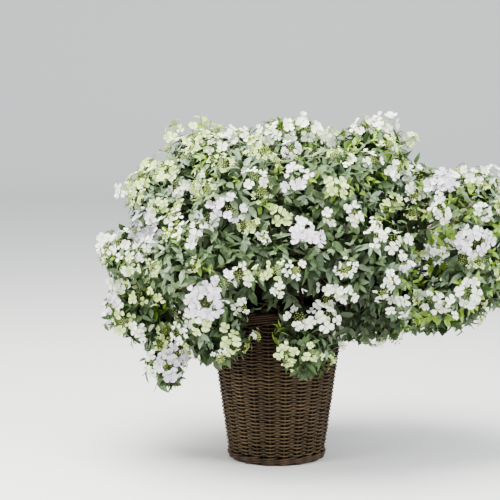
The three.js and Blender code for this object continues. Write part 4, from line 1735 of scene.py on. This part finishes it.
    def add_leaf_pair(self, node: Array, heading: Array, turn: float, normal: Array,
                      size: float, tint: LeafTint, slant: float = 0.45, limit: float = 1.05) -> None:
        """Two opposite leaves at a joint of a twig.

        Args:
            node: The joint.
            heading: The way the twig runs.
            turn: The angle of the pair about the twig.
            normal: The way out of the crown, which the upper faces turn to.
            size: The leaves' length as a share of the usual.
            tint: Their green.
            slant: How far they lean along the twig.
            limit: How far out their tips may lie.
        """
        side = turned_about(square_to(heading), heading[None], np.array([turn]))[0]
        droop = 0.18 if normal[2] > -0.1 else 0.55
        for hand in (1, -1):
            along = unit(heading * slant + side * hand + self.draw(-0.34, 0.34, 3) - UP * droop)
            face = unit(normal + UP * 0.65 + self.draw(-0.45, 0.45, 3))
            long = size * LeafBlade.length * self.draw(0.88, 1.12)
            tip = node + along * long
            allowed = self.space.within_box(tip, 0.016) and self.space.clears_basket(tip, 0.003)
            if self.space.blended_reach(tip) > limit or not allowed:
                continue
            curl = self.draw(0.02, 0.30)
            fold = self.draw(0.15, 0.60)
            self.leaves[tint].append((node, along, face, long, curl, fold))

    @staticmethod
    def patchiness(point: Array) -> float:
        """How thickly the crown flowers at a point, from 0 to 1, in broad soft patches."""
        x, y, z = point * 14
        wave = math.sin(x + 1.7 * math.sin(y + 0.6)) + math.sin(z * 1.3 + 1.1 * math.sin(x * 0.8) + 2.0)
        return 0.5 + 0.25 * (wave + 0.6 * math.sin(y * 1.4 + z))

    def try_head(self, spray: Spray, young: bool) -> bool:
        """Puts a flower head on a spray if its mass flowers there and there is room.

        Args:
            spray: The spray.
            young: Whether it is young, with small creamy florets.

        Returns:
            Whether the head was made.
        """
        end, mass = spray.end, spray.mass
        lit = float(np.clip(0.85 + 0.55 * spray.normal[2], 0.2, 1.1))
        if self.draw() > self.flowering * mass.bloom * lit * (0.55 + 0.9 * self.patchiness(end)):
            return False
        scale = self.draw(0.50, 0.74) if young else self.draw(0.80, 1.05)
        spacing = self.young_spacing if young else self.open_spacing
        apart = np.linalg.norm(self.head_places - end, axis=1)
        if (apart < (spacing + self.head_spacings) / 2).any():
            return False
        sideways = unit(np.array([end[0], end[1], 0.0])) * 0.45
        axis = spray.normal + spray.twig.heading() * 0.25 + sideways + UP * 0.10
        axis = unit(axis + self.draw(-0.45, 0.45, 3))
        tint = PetalTint.WHITE
        if young:
            low, across = end[2] < self.bright_above, self.centre_from < end[0] < self.sunny_from
            share = self.central_cream_share if across and end[1] < 0 and low else self.cream_share
            tint = PetalTint.CREAM if self.draw() < share else tint
        elif self.draw() < mass.flush:
            tint = PetalTint.LILAC
        if not self.make_head(Head(end, axis, scale, tint, young)):
            return False
        self.head_places = np.vstack([self.head_places, end])
        self.head_spacings = np.append(self.head_spacings, spacing)
        return True

    def spokes(self, axis: Array) -> Callable[[float], Array]:
        """The ways out from an axis, with a random start.

        Args:
            axis: The axis.

        Returns:
            A function from an angle to the way out there.
        """
        side = turned_about(square_to(axis), axis[None], self.draw(0, 6.28, 1))[0]
        across = np.cross(axis, side)
        return lambda angle: side * math.cos(angle) + across * math.sin(angle)

    def make_head(self, head: Head) -> bool:
        """A lacecap head: rays from the twig's end to showy florets round a dome of tiny buds.

        Args:
            head: What is made.

        Returns:
            Whether there was room for enough of its florets.
        """
        out_at = self.spokes(head.axis)
        placed = self.floret_places(head, out_at)
        if len(placed) < (2 if head.showy else 4):
            return False
        for centre, facing, out in placed:
            size = self.floret_radius * max(head.scale, 0.5) ** 0.5 * self.draw(0.78, 1.08)
            if head.young:
                size = self.young_floret_radius * head.scale * self.draw(0.72, 1.08)
            self.add_floret(head, centre, facing, size)
            lead = unit(head.axis + out * 0.3)
            self.rays.append(Twig(head.foot, centre - facing * 0.002, lead, *self.ray_radii))
        beads = 32 if head.young else 24
        for place in range(beads):
            share = math.sqrt((place + 0.5) / beads)
            lift = self.head_rise + self.bud_dome_height * (1 - (share * self.bud_dome_radius / 0.028) ** 2)
            out = out_at(GOLDEN_ANGLE * place) * self.bud_dome_radius * share
            centre = head.foot + (head.axis * lift + out) * head.scale
            self.buds.append((centre, head.axis, self.draw(0.0016, 0.0027)))
        return True

    def floret_places(self, head: Head, out_at: Callable[[float], Array]) -> list[tuple[Array, ...]]:
        """Where a head's florets sit: in a ring, or all over the dome of a full head.

        Args:
            head: The head.
            out_at: The way out from its axis at an angle.

        Returns:
            The middle, the facing and the way out of each floret that has room.
        """
        scale, showy = head.scale, head.showy
        limit = float(self.space.blended_reach(head.foot)) + (0.30 if showy else 0.06)
        limit = max(self.usual_limit, limit)
        full = showy or self.draw() < self.full_share
        if head.young:
            florets = self.random.randint(8, 13)
        else:
            florets = int(self.random.randint(6, 10) * scale) + 2 * full
        if showy:
            florets = int((self.large_head_florets if scale > 1.0 else self.showy_florets) * scale + 0.5)
        florets = max(florets, 3 if showy else 5)
        widened = self.small_showy_spread if showy and scale < 1.0 else 1.0
        placed = []
        for place in range(florets):
            angle = 2 * math.pi * (place + self.draw(-0.35, 0.35)) / florets
            out = out_at(GOLDEN_ANGLE * place if full else angle)
            spread = math.sqrt(self.draw(0.02, 1.0)) if full else self.draw(0.45, 1.05)
            dome = 0.014 * (1 - spread**2) if full else 0.0
            lift = scale * (self.head_rise + dome + 0.010 * self.draw(-0.8, 0.8))
            centre = head.foot + head.axis * lift + out * self.head_radius * scale * spread * widened
            facing = head.axis + out * self.draw(0.05, 1.10)
            facing = unit(facing + self.draw(-0.50, 0.50, 3))
            roomy = self.space.within_box(centre, 0.014 if showy else 0.008)
            if roomy and self.space.clears_basket(centre, 0.012) and self.space.blended_reach(centre) < limit:
                placed.append((centre, facing, out))
        return placed

    def add_floret(self, head: Head, centre: Array, facing: Array, size: float) -> None:
        """A showy floret of broad sepals round a bead.

        Args:
            head: The head that it belongs to.
            centre: Its middle.
            facing: The way it faces.
            size: Its radius.
        """
        count = 4 if self.draw() < 0.8 else 3
        out_at = self.spokes(facing)
        stamps = (self.small_sepals if head.young else self.sepals)[head.tint]
        for place in range(count):
            out = out_at(2 * math.pi * place / count + self.draw(-0.14, 0.14))
            pitch = self.draw(-0.30, 0.46)
            along = unit(out + facing * pitch)
            face = unit(facing - out * pitch + self.draw(-0.10, 0.10, 3))
            long = size * self.draw(0.88, 1.10)
            cup, twist = self.draw(0.25, 1.1), self.draw(-0.16, 0.16)
            stamps.append((centre + facing * 0.0007 * (place % 2), along, face, long, cup, twist))
        self.buds.append((centre + facing * 0.0014, facing, 0.0016))

    @staticmethod
    def twig_batch(twigs: list[Twig]) -> MeshBatch:
        """Stems, twigs, sprays and rays as thin rods, the thicker ones with more sides and steps.

        Args:
            twigs: Their lines and thicknesses.

        Returns:
            Their mesh.
        """
        batch = MeshBatch()
        for twig in twigs:
            if twig.foot_radius > 0.002:
                steps, sides = 9, 6
            else:
                steps, sides = 5 if twig.foot_radius > 0.0009 else 2, 3
            radii = np.linspace(twig.foot_radius, twig.tip_radius, steps)
            batch.add(*tube(twig.points(steps), radii, sides))
        return batch

    def blade_batch(self, stamps: list[tuple]) -> MeshBatch:
        """Leaves stamped from the blade's outline, each folded and curled by its own amount.

        Args:
            stamps: Each leaf's joint, its two directions, length, curl and fold.

        Returns:
            Their mesh.
        """
        blade = LeafBlade()
        points, triangles, places = blade.template()
        origin, along, face, long, curl, fold = (np.array(column) for column in zip(*stamps))
        broad = self.draw(0.88, 1.16, len(stamps)) * blade.width / blade.length / 2
        sideways = points[None, :, 1] * (long * broad * np.cos(fold))[:, None]
        lifted = points[None, :, 2] * (long * broad * np.sin(fold))[:, None]
        lifted = lifted - curl[:, None] * points[None, :, 0] ** 2 * long[:, None]
        forward = points[None, :, 0] * long[:, None]
        return self.stamped(origin, along, face, (forward, sideways, lifted), triangles, places)

    def sepal_batch(self, stamps: list[tuple], fine: bool) -> MeshBatch:
        """Sepals stamped from their outline, each cupped and twisted by its own amount.

        Args:
            stamps: Each sepal's foot, its two directions, length, cupping and twist.
            fine: Whether they have the full outline.

        Returns:
            Their mesh.
        """
        points, triangles, places = Sepal().template(fine)
        origin, along, face, long, cup, twist = (np.array(column) for column in zip(*stamps))
        forward = points[None, :, 0] * long[:, None]
        sideways = points[None, :, 1] * long[:, None]
        lifted = points[None, :, 2] * (long * cup)[:, None] + sideways * twist[:, None]
        return self.stamped(origin, along, face, (forward, sideways, lifted), triangles, places)

    def bud_batch(self, stamps: list[tuple]) -> MeshBatch:
        """Tiny pointed buds.

        Args:
            stamps: Each bud's middle, its axis and its radius.

        Returns:
            Their mesh.
        """
        points = np.array([(1, 0, -0.3), (-0.5, 0.87, -0.3), (-0.5, -0.87, -0.3), (0, 0, 1.1)])
        triangles = np.array([(0, 1, 3), (1, 2, 3), (2, 0, 3), (1, 0, 2)])
        places = np.array([(0.1, 0.2), (0.5, 0.5), (0.9, 0.2), (0.5, 0.9)])
        origin, axis, radius = (np.array(column) for column in zip(*stamps))
        sides = square_to(axis)
        parts = tuple(points[None, :, column] * radius[:, None] for column in range(3))
        return self.stamped(origin, sides, axis, parts, triangles, places)

    @staticmethod
    def stamped(origin: Array, along: Array, face: Array, parts: tuple[Array, ...],
                triangles: Array, places: Array) -> MeshBatch:
        """Copies of one small mesh, each in its own frame, joined into a batch.

        Args:
            origin: Where each copy grows from.
            along: The way each copy runs.
            face: The way each copy's upper side turns.
            parts: How far each copy's points lie along, across and up.
            triangles: The triangles of one copy.
            places: The texture places of one copy.

        Returns:
            The batch.
        """
        side = unit(np.cross(face, along))
        ways = (along, side, np.cross(along, side))
        shape = sum(part[..., None] * way[:, None, :] for part, way in zip(parts, ways))
        vertices = origin[:, None, :] + shape
        copies, points = vertices.shape[:2]
        shifts = (np.arange(copies) * points)[:, None, None]
        joined = (triangles[None] + shifts).reshape(-1, 3)
        batch = MeshBatch()
        batch.add(vertices.reshape(-1, 3), joined, np.tile(places, (copies, 1)))
        return batch

    def dress(self, groups: EffectGroups) -> None:
        """Grows every mass, then builds each kind of foliage as joined pieces."""
        for index in range(len(MASSES)):
            self.grow_mass(index)
        self.dress_sprays()
        wood = RodFinish(
            "reddish_twigs", (0.175, 0.100, 0.050), (0.090, 0.048, 0.028), (0.110, 0.120, 0.045),
            0.6, 30.0, 60.0, 0.5)
        green = RodFinish(
            "green_rays", (0.300, 0.360, 0.140), (0.190, 0.240, 0.085), (0.240, 0.200, 0.090),
            0.6, 60.0, 120.0, 0.4)
        bead = PetalFinish(
            "fertile_buds", (0.66, 0.76, 0.26), (0.38, 0.50, 0.12), (0.68, 0.72, 0.34), 0.5,
            (0.40, 0.52, 0.14), 0.35)
        masses = [f"foliage_{mass.name}" for mass in MASSES]
        self.twig_batch(self.twigs).dress("twigs", wood.make(groups), "foliage", masses)
        self.twig_batch(self.rays).dress("flower_stalks", green.make(groups), "foliage")
        for tint, stamps in self.leaves.items():
            name = tint.value.name.replace("leaf_", "leaves_")
            self.blade_batch(stamps).dress(name, tint.value.make(groups), "foliage")
        petals = {tint: tint.value.make(groups) for tint in PetalTint}
        for stock, fine, word in ((self.sepals, True, "open"), (self.small_sepals, False, "young")):
            for tint, stamps in stock.items():
                if stamps:
                    name = f"{word}_{tint.value.name}s"
                    self.sepal_batch(stamps, fine).dress(name, petals[tint], "foliage")
        self.bud_batch(self.buds).dress("fertile_buds", bead.make(groups), "foliage")
        counts = [sum(map(len, stock.values())) for stock in (self.leaves, self.sepals, self.small_sepals)]
        LOG.info("crown: %d heads, %d twigs, %d leaves, %d open and %d young sepals, %d buds",
                 len(self.head_places), len(self.twigs), *counts, len(self.buds))


@dataclass
class Studio:
    """The plain pale floor, the soft lights and the camera."""

    camera_place: Place = (-0.084, -5.300, 1.250)
    camera_dip: float = 6.4
    camera_angle: float = 16.7
    floor_half: float = 16.0
    bend_start: float = 10.0
    bend_radius: float = 3.0
    bend_steps: int = 12
    wall_top: float = 9.0
    aim: Place = (0.05, 0.0, 0.6)
    lights: tuple[tuple[str, Place, float, float, Colour], ...] = (
        ("sky_light", (-1.0, -0.5, 4.2), 3.0, 330.0, (1.0, 0.99, 0.94)),
        ("left_light", (-3.8, -2.6, 2.4), 2.2, 120.0, (1.0, 0.99, 0.96)),
        ("right_light", (3.6, -2.4, 2.6), 2.2, 150.0, (0.97, 0.99, 1.0)),
    )
    surroundings: Colour = (0.86, 0.90, 0.94)
    surroundings_strength: float = 0.82
    exposure: float = 0.20

    def build_floor(self) -> None:
        """A pale floor that curves up into a backdrop."""
        profile = [(-self.floor_half, 0.0), (self.bend_start, 0.0)]
        for step in range(1, self.bend_steps + 1):
            angle = math.pi / 2 * step / self.bend_steps
            profile.append((self.bend_start + self.bend_radius * math.sin(angle),
                            self.bend_radius * (1 - math.cos(angle))))
        profile.append((self.bend_start + self.bend_radius, self.wall_top))
        vertices = [(x, y, z) for y, z in profile for x in (-self.floor_half, self.floor_half)]
        starts = range(0, len(vertices) - 2, 2)
        triangles = [corners for a in starts for corners in ((a, a + 1, a + 3), (a, a + 3, a + 2))]
        batch = MeshBatch()
        batch.add(np.array(vertices), np.array(triangles), np.zeros((len(vertices), 2)))
        floor = batch.build("studio_floor")
        finish = MaterialMaker("pale_floor", {"Base Color": (0.78, 0.775, 0.76), "Roughness": 0.9})
        floor.data.materials.append(finish.material)

    def add_lights(self) -> None:
        """Square soft lights that face the crown."""
        for name, place, size, power, colour in self.lights:
            light = bpy.data.lights.new(name, "AREA")
            light.size = size
            light.energy = power
            light.color = colour
            lamp = bpy.data.objects.new(name, light)
            lamp.location = place
            aim = Vector(self.aim) - Vector(place)
            lamp.rotation_euler = aim.to_track_quat("-Z", "Y").to_euler()
            bpy.context.scene.collection.objects.link(lamp)

    def dress(self) -> None:
        """Sets out the floor, the lights, the surroundings and the camera."""
        self.build_floor()
        self.add_lights()
        world = bpy.data.worlds.new("soft_surroundings")
        world.use_nodes = True
        background = world.node_tree.nodes["Background"]
        background.inputs["Color"].default_value = (*self.surroundings, 1.0)
        background.inputs["Strength"].default_value = self.surroundings_strength
        scene = bpy.context.scene
        scene.world = world
        camera_data = bpy.data.cameras.new("camera")
        camera_data.angle = math.radians(self.camera_angle)
        camera = bpy.data.objects.new("camera", camera_data)
        camera.location = self.camera_place
        camera.rotation_euler = (math.radians(90 - self.camera_dip), 0, 0)
        scene.collection.objects.link(camera)
        scene.camera = camera
        scene.view_settings.view_transform = "AgX"
        scene.view_settings.look = "AgX - Medium High Contrast"
        scene.view_settings.exposure = self.exposure


def main() -> None:
    """Builds the floor, the basket, the limbs and the crown in order."""
    logging.basicConfig(level=logging.INFO, format="%(name)s: %(message)s")
    groups = EffectGroups()
    Studio().dress()
    basket = WovenBasket()
    basket.dress(groups)
    SoilBed(basket).dress(groups)
    limbs = Limbs(basket)
    limbs.dress(groups)
    Crown(basket, limbs).dress(groups)


if __name__ == "__main__":
    main()
